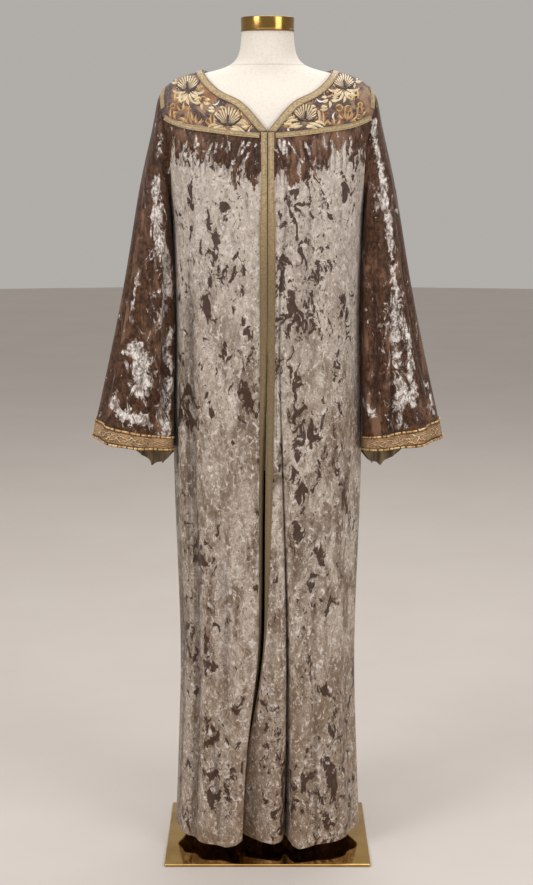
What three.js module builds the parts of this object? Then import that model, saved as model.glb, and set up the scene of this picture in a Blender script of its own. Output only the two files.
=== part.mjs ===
// A long open-front jalabiya of crushed velvet with an embroidered yoke, on a limbless dress form
// with a square brass stand. Millimetres, +Z up, the front faces -Y and the wearer's left is +X.
// The origin is the middle of the base plate's underside.
import * as THREE from "three";
import { mergeVertices } from "three/addons/utils/BufferGeometryUtils.js";

// ---------------------------------------------------------------- driving sizes
const SEAM_GAP = 0.3; // between two pieces that are sewn together
const REST_GAP = 0.4; // between the yoke and the form that it rests on
const FACET_ROOM = 2.0; // what flat facets take from a gap between two round surfaces
const SHOULDER_GAP = 0.4; // half the gap at the shoulder seam, over what the facets take
const HEAD_SEAT = 0.4; // the sleeve's first ring lies this far inside the gown's surface

const VELVET = 1.6; // wall of the gown's velvet
const YOKE_WALL = 2.0; // embroidered cloth of the yoke
const RIBBON = 1.1; // woven ribbon
const BROCADE = 2.2; // cuff brocade
const SATIN = 1.2; // facing inside the cuff

const PLATE = { width: 386, depth: 300, thick: 5, corner: 3 };
const POLE_RADIUS = 11;
const FORM_BOTTOM = 742;
const FORM_TUCK = 5; // the form's foot is drawn in by this
const CAP = { bottom: 1525.6, top: 1550.5, radius: 48 };

const PANEL_WIDTH = 240; // centre front to side seam, the width that the fold tables are drawn on
const CENTRE_GAP = 0.9; // each front edge from the middle

const BAND_LIFT = 0.9; // ribbon over the cloth that it is sewn to
const ARMHOLE_BAND_LIFT = 0.6;
const SEAM_COVER = 1; // how far the yoke's lower ribbon reaches past the seam
const NECK_BAND_WIDTH = 13.5;
const YOKE_BAND_WIDTH = 8.5;
const ARMHOLE_BAND_WIDTH = 10;
const PLACKET_TOP = 1348.4; // the placket's ribbon runs up over the yoke to here
// The neck ribbon ends in the middle in front, over the placket's top.
const NECK_BAND_FOOT = [
  { across: 0.6, height: 1350.2 },
  { across: 7.5, height: 1349.6 },
  { across: 14.6, height: 1349 },
];
const ARMHOLE = { middle: 1310, halfHeight: 112, halfDepth: 62 };
const ARMHOLE_EASE = 2.2; // between the sleeve's round head and the armhole's straight facets

const CUFF_SHARE = 0.955; // the cuff runs from here to the end of the sleeve
const FACING_SHARE = 0.86; // and its facing from here

// ---------------------------------------------------------------- colours
const FINISH = {
  velvet: { color: 0xa8977f, roughness: 0.5, metalness: 0 },
  embroidery: { color: 0x7a5c3e, roughness: 0.7, metalness: 0 },
  ribbon: { color: 0xa8925f, roughness: 0.55, metalness: 0.1 },
  brocade: { color: 0xb48c64, roughness: 0.6, metalness: 0.1 },
  satin: { color: 0x877855, roughness: 0.45, metalness: 0 },
  jersey: { color: 0xebe4d7, roughness: 0.85, metalness: 0 },
  brass: { color: 0xbe963c, roughness: 0.15, metalness: 1 },
};

// ---------------------------------------------------------------- sections of the body
// The gown's outer surface as level rings: half width, depth in front of and behind the middle,
// and how square the ring is (2 is an ellipse). The form shares the rows above the chest.
const SHOULDER_RINGS = [
  { height: 1342, halfWidth: 191, front: 113, back: 99, square: 2.9 },
  { height: 1360, halfWidth: 194, front: 108, back: 97, square: 3.0 },
  { height: 1385, halfWidth: 196, front: 98, back: 92, square: 3.0 },
  { height: 1405, halfWidth: 195, front: 87, back: 84, square: 3.0 },
  { height: 1420, halfWidth: 191, front: 76, back: 75, square: 2.8 },
  { height: 1434, halfWidth: 181, front: 65, back: 66, square: 2.6 },
  { height: 1444, halfWidth: 166, front: 58, back: 58, square: 2.4 },
  { height: 1451, halfWidth: 145, front: 54, back: 54, square: 2.2 },
  { height: 1457, halfWidth: 118, front: 52, back: 52, square: 2.1 },
  { height: 1463, halfWidth: 90, front: 51, back: 51, square: 2.0 },
  { height: 1471, halfWidth: 68, front: 50.5, back: 50, square: 2.0 },
  { height: 1483, halfWidth: 57, front: 50, back: 49, square: 2.0 },
  { height: 1500, halfWidth: 53, front: 49, back: 48.5, square: 2.0 },
  { height: 1526, halfWidth: 51, front: 49, back: 48, square: 2.0 },
];
const GOWN_RINGS = [
  { height: 24, halfWidth: 178, front: 121, back: 121, square: 2.3 },
  { height: 195, halfWidth: 171, front: 120, back: 120, square: 2.3 },
  { height: 395, halfWidth: 165, front: 120, back: 118, square: 2.3 },
  { height: 590, halfWidth: 171, front: 122, back: 115, square: 2.3 },
  { height: 783, halfWidth: 177, front: 125, back: 112, square: 2.3 },
  { height: 1006, halfWidth: 171, front: 127, back: 104, square: 2.4 },
  { height: 1120, halfWidth: 171, front: 129, back: 101, square: 2.5 },
  { height: 1198, halfWidth: 174, front: 129, back: 101, square: 2.6 },
  { height: 1260, halfWidth: 179, front: 126, back: 101, square: 2.75 },
  ...SHOULDER_RINGS,
];
const FORM_RINGS = [
  { height: 742, halfWidth: 146, front: 100, back: 100, square: 2.2 },
  { height: 790, halfWidth: 157, front: 104, back: 104, square: 2.2 },
  { height: 860, halfWidth: 160, front: 100, back: 103, square: 2.2 },
  { height: 950, halfWidth: 140, front: 90, back: 90, square: 2.1 },
  { height: 1040, halfWidth: 120, front: 88, back: 78, square: 2.1 },
  { height: 1120, halfWidth: 134, front: 104, back: 86, square: 2.2 },
  { height: 1190, halfWidth: 148, front: 122, back: 93, square: 2.3 },
  { height: 1250, halfWidth: 156, front: 121, back: 95, square: 2.4 },
  { height: 1300, halfWidth: 171, front: 117, back: 97, square: 2.6 },
  ...SHOULDER_RINGS,
];
const FORM_INSET = YOKE_WALL + REST_GAP + FACET_ROOM; // the form lies this far inside its rings

// ---------------------------------------------------------------- edges of the yoke
// Heights of the yoke's lower edge and of the neckline, by the distance from the middle.
const YOKE_HEM_FRONT = [
  { across: 0, height: 1338.5 },
  { across: 55, height: 1343 },
  { across: 99, height: 1349 },
  { across: 139, height: 1354.5 },
  { across: 170, height: 1364 },
  { across: 190, height: 1376 },
];
const YOKE_HEM_BACK = [
  { across: 0, height: 1342 },
  { across: 99, height: 1347 },
  { across: 150, height: 1356 },
  { across: 190, height: 1376 },
];
const NECK_POINT = { across: 115.5, height: 1457.5 }; // where the neckline crosses the shoulder
const NECKLINE_FRONT = [
  { across: 0, height: 1350 },
  { across: 49, height: 1404 },
  { across: 79, height: 1416.5 },
  { across: 102, height: 1436 },
  { across: 112, height: 1450 },
  NECK_POINT,
];
const NECKLINE_BACK = [
  { across: 0, height: 1443 },
  { across: 60, height: 1447 },
  { across: 96, height: 1452.5 },
  NECK_POINT,
];
// Ribs of the yoke: how far from the middle they stand at the lower edge and at the top.
const YOKE_RIBS = [
  { foot: 0, top: 0 },
  { foot: 16, top: 16 },
  { foot: 32, top: 32 },
  { foot: 49, top: 49 },
  { foot: 63, top: 64 },
  { foot: 77, top: 79 },
  { foot: 90, top: 92 },
  { foot: 103, top: 103 },
  { foot: 115, top: 110 },
  { foot: 125, top: 113.4 },
  { foot: 134, top: 115.2 },
  { foot: 142, top: 115.5 },
  { foot: 152, top: 130 },
  { foot: 163, top: 150 },
  { foot: 175, top: 170 },
];
const YOKE_ROWS = 8;

// ---------------------------------------------------------------- folds of the gown
// One row for each fold line: how far it runs from the middle, on a panel that is PANEL_WIDTH wide,
// and how deep it lies inside the gown's ring, at these heights.
const FOLD_HEIGHTS = [1340, 1006, 700, 395, 195, 24];
const LEFT_FOLDS = [
  { line: "front edge", across: [0, 0, -4, -4, -39, -54], deep: [0, 0, 4, 17, 42, 66] },
  { line: "ribbon edge", across: [14, 13.6, 9, -5.5, -43, -58], deep: [0, 0, 0.5, 4, 29, 53] },
  { line: "wedge", across: [25, 15, 17, 8, -22, -38], deep: [0, 0, 0, 0, 19, 41] },
  { line: "furrow lip", across: [36, 16.5, 25, 35, 32, 24], deep: [0, 0, 0, 1, 5, 13] },
  { line: "furrow", across: [47, 20, 29, 40, 40, 37], deep: [0, 4, 11, 26, 46, 64] },
  { line: "lobe lip", across: [59, 25, 33.5, 45, 48, 49], deep: [0, 0, 0, 0, 1, 4] },
  { line: "lobe crest", across: [80, 50, 56, 66, 70, 72], deep: [0, 0, 0, 0, 0, 0] },
  { line: "shallow trough", across: [102, 82, 86, 89, 92, 96], deep: [0, 2, 5, 5, 5, 7] },
  { line: "second crest", across: [126, 112, 114, 117, 119, 122], deep: [0, 0, 0, 0, 0, 0] },
  { line: "corner fold", across: [154, 150, 152, 154, 157, 161], deep: [0, 0, 0, 0, 0, 1] },
  { line: "side trough", across: [184, 176, 178, 180, 183, 186], deep: [0, 3, 8, 9, 9, 11] },
  { line: "side crest", across: [214, 208, 209, 210, 212, 214], deep: [0, 0, 1, 1, 1, 1] },
  { line: "side seam", across: [240, 240, 240, 240, 240, 240], deep: [0, 0, 0, 0, 0, 0] },
];
const RIGHT_FOLDS = [
  { line: "front edge", across: [0, 0, 10, 14, 52, 70], deep: [0, 0, 15, 27, 62, 66] },
  { line: "ribbon edge", across: [14, 13.6, 15, 16, 50, 63], deep: [0, 0, 3, 14, 48.6, 55] },
  { line: "turned wall", across: [25, 15.2, 16, 17, 47, 55], deep: [0, 0, 1.5, 5, 20, 28] },
  { line: "lobe lip", across: [38, 20, 22, 24, 41, 47], deep: [0, 0, 0, 0, 2, 6] },
  { line: "lobe crest", across: [56, 42, 48, 55, 66, 72], deep: [0, 0, 0, 0, 0, 0] },
  { line: "shallow trough", across: [78, 74, 79, 82, 90, 94], deep: [0, 2, 6, 6, 5, 6] },
  { line: "second crest", across: [100, 99, 104, 107, 110, 112], deep: [0, 0, 0, 0, 0, 0] },
  { line: "corner fold", across: [126, 125, 128, 130, 132, 134], deep: [0, 0, 0, 0, 0, 0] },
  { line: "side trough", across: [154, 149, 151, 153, 154, 156], deep: [0, 5, 13, 14, 13, 14] },
  { line: "side ridge", across: [182, 172, 172, 175, 177, 179], deep: [0, 1, 2, 2, 2, 3] },
  { line: "rear trough", across: [212, 205, 206, 208, 209, 210], deep: [0, 2, 5, 6, 5, 6] },
  { line: "side seam", across: [240, 240, 240, 240, 240, 240], deep: [0, 0, 0, 0, 0, 0] },
];
// The back runs from the side seam on the wearer's right to the one on the left.
const BACK_FOLDS = [
  { line: "right seam", across: [-240, -240, -240, -240, -240, -240], deep: [0, 0, 0, 0, 0, 0] },
  { line: "trough", across: [-206, -207, -208, -207, -206, -206], deep: [0, 2, 6, 7, 7, 8] },
  { line: "crest", across: [-172, -174, -173, -171, -170, -171], deep: [0, 0, 0, 0, 0, 0] },
  { line: "trough", across: [-134, -130, -134, -131, -128, -126], deep: [0, 3, 8, 12, 13, 15] },
  { line: "crest", across: [-96, -92, -97, -94, -92, -88], deep: [0, 0, 1, 0, 0, 0] },
  { line: "trough", across: [-56, -50, -56, -56, -52, -49], deep: [0, 4, 10, 14, 16, 17] },
  { line: "crest", across: [-18, -14, -19, -20, -17, -12], deep: [0, 0, 0, 0, 0, 0] },
  { line: "trough", across: [22, 22, 18, 21, 26, 30], deep: [0, 3, 9, 13, 18, 21] },
  { line: "crest", across: [60, 58, 57, 60, 65, 68], deep: [0, 0, 0, 0, 0, 0] },
  { line: "trough", across: [98, 97, 98, 101, 106, 109], deep: [0, 3, 7, 10, 10, 12] },
  { line: "crest", across: [136, 136, 140, 143, 146, 148], deep: [0, 0, 0, 0, 0, 0] },
  { line: "trough", across: [188, 188, 190, 191, 192, 193], deep: [0, 2, 7, 8, 9, 10] },
  { line: "left seam", across: [240, 240, 240, 240, 240, 240], deep: [0, 0, 0, 0, 0, 0] },
];
// Levels of the panels' rows, under a yoke whose lower edge is at YOKE_LEVEL in the middle.
const YOKE_LEVEL = 1338.5;
const CHEST_LEVEL = 1110;
const WAIST_LEVEL = 1006; // the front edges meet down to here
const PANEL_LEVELS = [
  24, 105, 195, 295, 395, 550, 700, 855, 1006, 1110, 1185.6, 1191, 1203, 1221, 1247, 1279, 1308,
  1327, 1338.5,
];
// Gathers under the yoke: how far their crests stand out, by the distance below the seam.
const GATHERS = [
  { below: 0, out: 0.2 },
  { below: 2.9, out: 3.2 },
  { below: 8, out: 4.2 },
  { below: 21.8, out: 3.4 },
  { below: 43.6, out: 2 },
  { below: 83.6, out: 0 },
];

// ---------------------------------------------------------------- sleeves
// The upper line of a sleeve runs from the shoulder to the outside of the cuff, the lower line from
// the underarm to its inside. Share 0 is the armhole, share 1 the edge of the cuff.
const SLEEVE_LINES = [
  { share: 0, upperX: 190.5, upperZ: 1421.4, lowerX: 174, lowerZ: 1198.6, halfDepth: 61.6 },
  { share: 0.03, upperX: 198, upperZ: 1410, lowerX: 178, lowerZ: 1198.4, halfDepth: 61.8 },
  { share: 0.1, upperX: 204, upperZ: 1374, lowerX: 174, lowerZ: 1160, halfDepth: 68 },
  { share: 0.3, upperX: 231, upperZ: 1262, lowerX: 168, lowerZ: 1062, halfDepth: 70 },
  { share: 0.55, upperX: 261, upperZ: 1090, lowerX: 164, lowerZ: 960, halfDepth: 73 },
  { share: 0.8, upperX: 296, upperZ: 925, lowerX: 162, lowerZ: 858, halfDepth: 79 },
  { share: 1, upperX: 327, upperZ: 792, lowerX: 161, lowerZ: 772, halfDepth: 84 },
];
const SLEEVE_SHARES = [0, 0.03, 0.075, 0.14, 0.22, 0.31, 0.4, 0.5, 0.6, 0.7, 0.8, 0.89, 0.9545];
const SLEEVE_COLUMNS = 28;
// Behind, towards the body, the cuff hangs lower: so much at the most, at this turn, over so wide an arc.
const BACK_DROP = { most: 52, turn: 250, wide: 66 };
const SLEEVE_CLEAR = 1.8; // from the gown's side
const HEAD_SHARE = 0.05; // above here the sleeve's head stands round the armhole
const HEAD_CLEAR = 1.2;
// Folds run down a sleeve at these turns round it (0 at the upper line, 90 in front, 180 at the
// lower line, 270 behind), so wide in degrees and so far out (or in, below 0) at the cuff.
const SLEEVE_FOLDS = {
  left: [
    { turn: 38, wide: 17, out: -9 },
    { turn: 66, wide: 17, out: 7 },
    { turn: 92, wide: 16, out: -12 },
    { turn: 122, wide: 18, out: 8 },
    { turn: 214, wide: 18, out: -8 },
    { turn: 246, wide: 17, out: 8 },
    { turn: 276, wide: 17, out: -12 },
    { turn: 318, wide: 19, out: 7 },
  ],
  right: [
    { turn: 30, wide: 16, out: -8 },
    { turn: 60, wide: 18, out: 7 },
    { turn: 94, wide: 17, out: 5 },
    { turn: 116, wide: 15, out: -11 },
    { turn: 142, wide: 16, out: 7 },
    { turn: 222, wide: 18, out: -9 },
    { turn: 256, wide: 18, out: 8 },
    { turn: 290, wide: 17, out: -11 },
  ],
};

// ---------------------------------------------------------------- small tools
const { sin, cos, abs, sign, min, max, PI, sqrt, asin, acos } = Math;
const rad = THREE.MathUtils.degToRad;
const point = (x, y, z) => new THREE.Vector3(x, y, z);

// A named column of a table, read as a smooth curve that never overshoots its rows.
function readTable(table, key, column, at) {
  const last = table.length - 1;
  if (at <= table[0][key]) return table[0][column];
  if (at >= table[last][key]) return table[last][column];
  let row = 0;
  while (table[row + 1][key] < at) row += 1;
  const slopes = [row - 1, row, row + 1].map((k) => {
    if (k < 0 || k >= last) return null;
    return (table[k + 1][column] - table[k][column]) / (table[k + 1][key] - table[k][key]);
  });
  const ends = [0, 1].map((k) => {
    const [before, after] = [slopes[k], slopes[k + 1]];
    if (before === null || after === null) return slopes[1];
    return before * after <= 0 ? 0 : (2 * before * after) / (before + after);
  });
  const step = table[row + 1][key] - table[row][key];
  const t = (at - table[row][key]) / step;
  const [from, to] = [table[row][column], table[row + 1][column]];
  return (
    from * (2 * t ** 3 - 3 * t ** 2 + 1) +
    ends[0] * step * (t ** 3 - 2 * t ** 2 + t) +
    to * (3 * t ** 2 - 2 * t ** 3) +
    ends[1] * step * (t ** 3 - t ** 2)
  );
}

// A ring's point at an angle from the middle of the front, 90 degrees at the wearer's left.
function ringPoint(rings, height, angle) {
  const [halfWidth, front, back, square] = ["halfWidth", "front", "back", "square"].map((column) =>
    readTable(rings, "height", column, height),
  );
  const x = halfWidth * sign(sin(angle)) * abs(sin(angle)) ** (2 / square);
  const y = abs(cos(angle)) ** (2 / square) * (cos(angle) > 0 ? -front : back);
  return point(x, y, height);
}

function ringNormal(rings, height, angle) {
  const up = ringPoint(rings, height + 0.4, angle).sub(ringPoint(rings, height - 0.4, angle));
  const round = ringPoint(rings, height, angle + 0.01).sub(ringPoint(rings, height, angle - 0.01));
  return round.cross(up).normalize();
}

function lifted(rings, height, angle, out) {
  return ringPoint(rings, height, angle).addScaledVector(ringNormal(rings, height, angle), out);
}

// Angle of the ring's point that lies so far across, or so far in front (below 0) or behind.
function angleAcross(rings, height, across) {
  const halfWidth = readTable(rings, "height", "halfWidth", height);
  const square = readTable(rings, "height", "square", height);
  return asin(min(1, abs(across) / halfWidth) ** (square / 2)) * (across < 0 ? -1 : 1);
}

function angleForward(rings, height, y) {
  const depth = readTable(rings, "height", y < 0 ? "front" : "back", height);
  const square = readTable(rings, "height", "square", height);
  const angle = acos(min(1, abs(y) / depth) ** (square / 2));
  return y < 0 ? angle : PI - angle;
}

// Half depth of the armhole at a height: nothing above its top or below its foot.
function armholeDepth(height) {
  const rise = (height - ARMHOLE.middle) / ARMHOLE.halfHeight;
  return ARMHOLE.halfDepth * sqrt(max(0, 1 - rise ** 2));
}

// A height at which the shoulder line is so far from the middle.
function shoulderHeight(across) {
  let [low, high] = [1405, 1471];
  for (let k = 0; k < 40; k += 1) {
    const middle = (low + high) / 2;
    if (readTable(GOWN_RINGS, "height", "halfWidth", middle) > across) low = middle;
    else high = middle;
  }
  return low;
}

// ---------------------------------------------------------------- meshes
function meshOf(name, finish, positions, triangles) {
  const geometry = new THREE.BufferGeometry();
  geometry.setAttribute("position", new THREE.Float32BufferAttribute(positions, 3));
  geometry.setIndex(triangles);
  return finished(name, finish, geometry);
}

function finished(name, finish, geometry) {
  for (const attribute of ["normal", "uv"]) geometry.deleteAttribute(attribute);
  const merged = mergeVertices(geometry, 1e-4);
  merged.computeVertexNormals();
  const mesh = new THREE.Mesh(merged, new THREE.MeshStandardMaterial(FINISH[finish]));
  mesh.name = name;
  return mesh;
}

function signedVolume(positions, triangles) {
  const corner = (k) => point(...positions.slice(3 * triangles[k], 3 * triangles[k] + 3));
  let volume = 0;
  for (let k = 0; k < triangles.length; k += 3)
    volume += corner(k).dot(corner(k + 1).cross(corner(k + 2))) / 6;
  return volume;
}

// A cloth wall between an outer and an inner grid of points. A closed wall goes all the way round.
function wall(name, finish, outer, inner, closed = false) {
  const rows = outer.length;
  const columns = outer[0].length;
  const positions = [...outer.flat(), ...inner.flat()].flatMap((p) => [p.x, p.y, p.z]);
  const triangles = [];
  const at = (side, row, column) => side * rows * columns + row * columns + (column % columns);
  const quad = (a, b, c, d) => triangles.push(a, b, c, a, c, d);
  const spans = closed ? columns : columns - 1;
  for (let row = 0; row < rows - 1; row += 1)
    for (let column = 0; column < spans; column += 1) {
      const corners = [[row, column], [row, column + 1], [row + 1, column + 1], [row + 1, column]];
      quad(...corners.map(([r, c]) => at(0, r, c)));
      const [a, b, c, d] = corners.map(([r, k]) => at(1, r, k));
      triangles.push(a, c, b, a, d, c);
    }
  for (let column = 0; column < spans; column += 1) {
    quad(at(0, 0, column), at(1, 0, column), at(1, 0, column + 1), at(0, 0, column + 1));
    const top = rows - 1;
    quad(at(0, top, column), at(0, top, column + 1), at(1, top, column + 1), at(1, top, column));
  }
  if (!closed)
    for (let row = 0; row < rows - 1; row += 1) {
      const end = columns - 1;
      quad(at(0, row, 0), at(0, row + 1, 0), at(1, row + 1, 0), at(1, row, 0));
      quad(at(0, row, end), at(1, row, end), at(1, row + 1, end), at(0, row + 1, end));
    }
  if (signedVolume(positions, triangles) < 0)
    for (let k = 0; k < triangles.length; k += 3)
      [triangles[k + 1], triangles[k + 2]] = [triangles[k + 2], triangles[k + 1]];
  return meshOf(name, finish, positions, triangles);
}

// A solid through closed rings of points, from the lowest to the highest, with flat ends.
function loft(name, finish, rings) {
  const columns = rings[0].length;
  const points = rings.flat();
  const foot = points.length;
  const ends = [rings[0], rings[rings.length - 1]].map((ring) =>
    ring.reduce((sum, p) => sum.add(p), point(0, 0, 0)).divideScalar(columns),
  );
  const positions = [...points, ...ends].flatMap((p) => [p.x, p.y, p.z]);
  const triangles = [];
  const at = (row, column) => row * columns + (column % columns);
  for (let column = 0; column < columns; column += 1) {
    for (let row = 0; row < rings.length - 1; row += 1) {
      const [a, b] = [at(row, column), at(row, column + 1)];
      const [c, d] = [at(row + 1, column + 1), at(row + 1, column)];
      triangles.push(a, b, c, a, c, d);
    }
    triangles.push(foot, at(0, column + 1), at(0, column));
    triangles.push(foot + 1, at(rings.length - 1, column), at(rings.length - 1, column + 1));
  }
  return meshOf(name, finish, positions, triangles);
}

// ---------------------------------------------------------------- the stand
function basePlate() {
  const { width, depth, thick, corner } = PLATE;
  const outline = new THREE.Shape();
  const [x, y] = [width / 2 - corner, depth / 2 - corner];
  outline.absarc(x, y, corner, 0, PI / 2);
  outline.absarc(-x, y, corner, PI / 2, PI);
  outline.absarc(-x, -y, corner, PI, 1.5 * PI);
  outline.absarc(x, -y, corner, 1.5 * PI, 2 * PI);
  const bevel = 0.6;
  const geometry = new THREE.ExtrudeGeometry(outline, {
    depth: thick - 2 * bevel,
    bevelThickness: bevel,
    bevelSize: bevel,
    bevelOffset: -bevel,
    bevelSegments: 1,
    curveSegments: 3,
  });
  geometry.translate(0, 0, bevel);
  return finished("base_plate", "brass", geometry);
}

function standPole() {
  const length = FORM_BOTTOM - PLATE.thick - 2 * SEAM_GAP;
  const geometry = new THREE.CylinderGeometry(POLE_RADIUS, POLE_RADIUS, length, 24);
  geometry.rotateX(PI / 2);
  geometry.translate(0, 0, PLATE.thick + SEAM_GAP + length / 2);
  return finished("stand_pole", "brass", geometry);
}

function neckCap() {
  const { bottom, top, radius } = CAP;
  const profile = [
    [0, bottom],
    [radius - 0.6, bottom],
    [radius, bottom + 0.6],
    [radius, top - 2],
    [radius - 0.6, top - 0.6],
    [radius - 2, top],
    [0, top],
  ].map(([r, z]) => new THREE.Vector2(r, z));
  const geometry = new THREE.LatheGeometry(profile, 36);
  geometry.rotateX(PI / 2);
  return finished("neck_cap", "brass", geometry);
}

const FORM_COLUMNS = 28;
const FORM_LEVELS = [
  742, 748, 800, 870, 955, 1040, 1115, 1190, 1250, 1300, 1342, 1370, 1397, 1415, 1427, 1437, 1444,
  1450, 1455, 1460, 1466, 1474, 1485, 1503, 1525.3,
];
function dressForm() {
  const rings = FORM_LEVELS.map((height, level) =>
    Array.from({ length: FORM_COLUMNS }, (_, column) => {
      const angle = (2 * PI * column) / FORM_COLUMNS;
      const end = level === 0 || level === FORM_LEVELS.length - 1;
      const p = lifted(FORM_RINGS, height, angle, -FORM_INSET - (level === 0 ? FORM_TUCK : 0));
      return end ? p.setZ(height) : p;
    }),
  );
  return loft("dress_form", "jersey", rings);
}

// ---------------------------------------------------------------- the yoke
// Side 1 is the wearer's left, side -1 the right. A face of "front" or "back" says which half.
const yokeFace = {
  front: { hem: YOKE_HEM_FRONT, neck: NECKLINE_FRONT },
  back: { hem: YOKE_HEM_BACK, neck: NECKLINE_BACK },
};

function toFace(face, angle) {
  return face === "front" ? angle : PI - angle;
}

// The armhole edge of the yoke or of a panel, as an angle on the ring.
function armholeAngle(face, height, inset = 0) {
  const depth = armholeDepth(height) + inset;
  return angleForward(GOWN_RINGS, height, face === "front" ? -depth : depth);
}

function armholeFoot(face) {
  return yokeFace[face].hem[yokeFace[face].hem.length - 1].height;
}

// Spots at even distances along a line over the rings, from one height to another.
function evenSpots(foot, top, angleAt) {
  const fine = 48;
  const spots = Array.from({ length: fine + 1 }, (_, k) => {
    const height = foot + (top - foot) * sin((PI / 2) * (k / fine));
    return { height, angle: angleAt(height) };
  });
  const places = spots.map((spot) => ringPoint(GOWN_RINGS, spot.height, spot.angle));
  const runs = [0];
  for (let k = 1; k <= fine; k += 1) runs.push(runs[k - 1] + places[k - 1].distanceTo(places[k]));
  return Array.from({ length: YOKE_ROWS + 1 }, (_, row) => {
    const wanted = (runs[fine] * row) / YOKE_ROWS;
    const k = runs.findIndex((run) => run >= wanted - 1e-9);
    return spots[k];
  });
}

// One rib of the yoke, from its lower edge up to the neckline or the shoulder seam.
function yokeRib(face, rib) {
  const { hem, neck } = yokeFace[face];
  const foot = readTable(hem, "across", "height", rib.foot) + SEAM_GAP;
  const open = rib.top < NECK_POINT.across;
  const top = open ? readTable(neck, "across", "height", rib.top) : shoulderHeight(rib.top);
  return evenSpots(foot, top, (height) => {
    const across = rib.foot + ((rib.top - rib.foot) * (height - foot)) / (top - foot);
    return toFace(face, angleAcross(GOWN_RINGS, height, max(across, CENTRE_GAP / 2)));
  });
}

// The rib along the armhole itself.
function armholeRib(face) {
  const foot = armholeFoot(face) + SEAM_GAP;
  const top = ARMHOLE.middle + ARMHOLE.halfHeight;
  return evenSpots(foot, top, (h) => armholeAngle(face, h, SEAM_GAP));
}

// The front and back yokes part at the shoulder seam.
function offShoulder(face, spot) {
  const gap = rad(0.25) + SHOULDER_GAP / readTable(GOWN_RINGS, "height", "front", spot.height);
  const limit = face === "front" ? PI / 2 - gap : PI / 2 + gap;
  const angle = face === "front" ? min(spot.angle, limit) : max(spot.angle, limit);
  return { height: spot.height, angle };
}

function yokeRibs(face) {
  const ribs = YOKE_RIBS.map((rib) => yokeRib(face, rib));
  return [...ribs, armholeRib(face)].map((rib) => rib.map((spot) => offShoulder(face, spot)));
}

function cloth(side, spots, out) {
  return spots.map((rib) =>
    rib.map(({ height, angle }) => {
      const p = lifted(GOWN_RINGS, height, angle, out);
      return p.setX(p.x * side);
    }),
  );
}

function yokePiece(name, side) {
  const ribs = yokeRibs("front");
  return wall(name, "embroidery", cloth(side, ribs, 0), cloth(side, ribs, -YOKE_WALL));
}

function yokeBack() {
  const left = yokeRibs("back");
  const ribs = [...left.slice(1).reverse(), left[0].map((spot) => ({ ...spot, angle: PI }))];
  const mirrored = left.slice(1).map((rib) =>
    rib.map((spot) => ({ ...spot, angle: -spot.angle })),
  );
  const all = [...ribs, ...mirrored];
  return wall("yoke_back", "embroidery", cloth(1, all, 0), cloth(1, all, -YOKE_WALL));
}

// ---------------------------------------------------------------- ribbon on the yoke
// Moves a spot over the rings' surface by a distance, in a direction of space.
function walk(spot, direction, distance) {
  const steps = 6;
  let { height, angle } = spot;
  for (let k = 0; k < steps; k += 1) {
    const here = ringPoint(GOWN_RINGS, height, angle);
    const up = ringPoint(GOWN_RINGS, height + 0.2, angle).sub(here).divideScalar(0.2);
    const round = ringPoint(GOWN_RINGS, height, angle + 0.004).sub(here).divideScalar(0.004);
    const normal = round.clone().cross(up).normalize();
    const way = direction.clone().addScaledVector(normal, -direction.dot(normal)).normalize();
    const [uu, ur, rr] = [up.dot(up), up.dot(round), round.dot(round)];
    const [wu, wr] = [way.dot(up), way.dot(round)];
    const det = uu * rr - ur * ur;
    height += ((wu * rr - wr * ur) / det) * (distance / steps);
    angle += ((wr * uu - wu * ur) / det) * (distance / steps);
  }
  return { height, angle };
}

// A ribbon whose one edge follows the spots and whose body lies to the side that "away" gives.
function ribbon(name, spots, away, from, width, sides, { ends = {}, lift = BAND_LIFT } = {}) {
  const places = spots.map((spot) => ringPoint(GOWN_RINGS, spot.height, spot.angle));
  const rows = spots.map((spot, k) => {
    const along = places[min(k + 1, places.length - 1)].clone().sub(places[max(k - 1, 0)]);
    const normal = ringNormal(GOWN_RINGS, spot.height, spot.angle);
    const across = along.cross(normal).normalize();
    if (across.dot(away(places[k])) < 0) across.negate();
    const cut = ends[k];
    return [from, from + width / 2, from + width].map((distance, column) => {
      if (cut) return cut[column];
      return distance === 0 ? spot : walk(spot, across, distance);
    });
  });
  return sides.map(([suffix, side]) =>
    wall(
      name + suffix,
      "ribbon",
      cloth(side, rows, lift + RIBBON),
      cloth(side, rows, lift),
    ),
  );
}

const BOTH_SIDES = [["_left", 1], ["_right", -1]];
const NECK_FALL = -40; // how steeply the ribbon's body leads down from the neckline
const fromNeck = (p) => point(p.x, p.y, NECK_FALL);

function spotAcross(face, across, height) {
  return { height, angle: toFace(face, angleAcross(GOWN_RINGS, height, across)) };
}

function neckBands() {
  const stations = YOKE_RIBS.map((rib) => rib.top).filter((top) => top < NECK_POINT.across);
  const spots = stations.map((across) =>
    spotAcross("front", across, readTable(NECKLINE_FRONT, "across", "height", across)),
  );
  spots.push(offShoulder("front", spotAcross("front", NECK_POINT.across, NECK_POINT.height)));
  const ends = { 0: NECK_BAND_FOOT.map((at) => spotAcross("front", at.across, at.height)) };
  return ribbon("neck_band", spots, fromNeck, 0, NECK_BAND_WIDTH, BOTH_SIDES, { ends });
}

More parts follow.
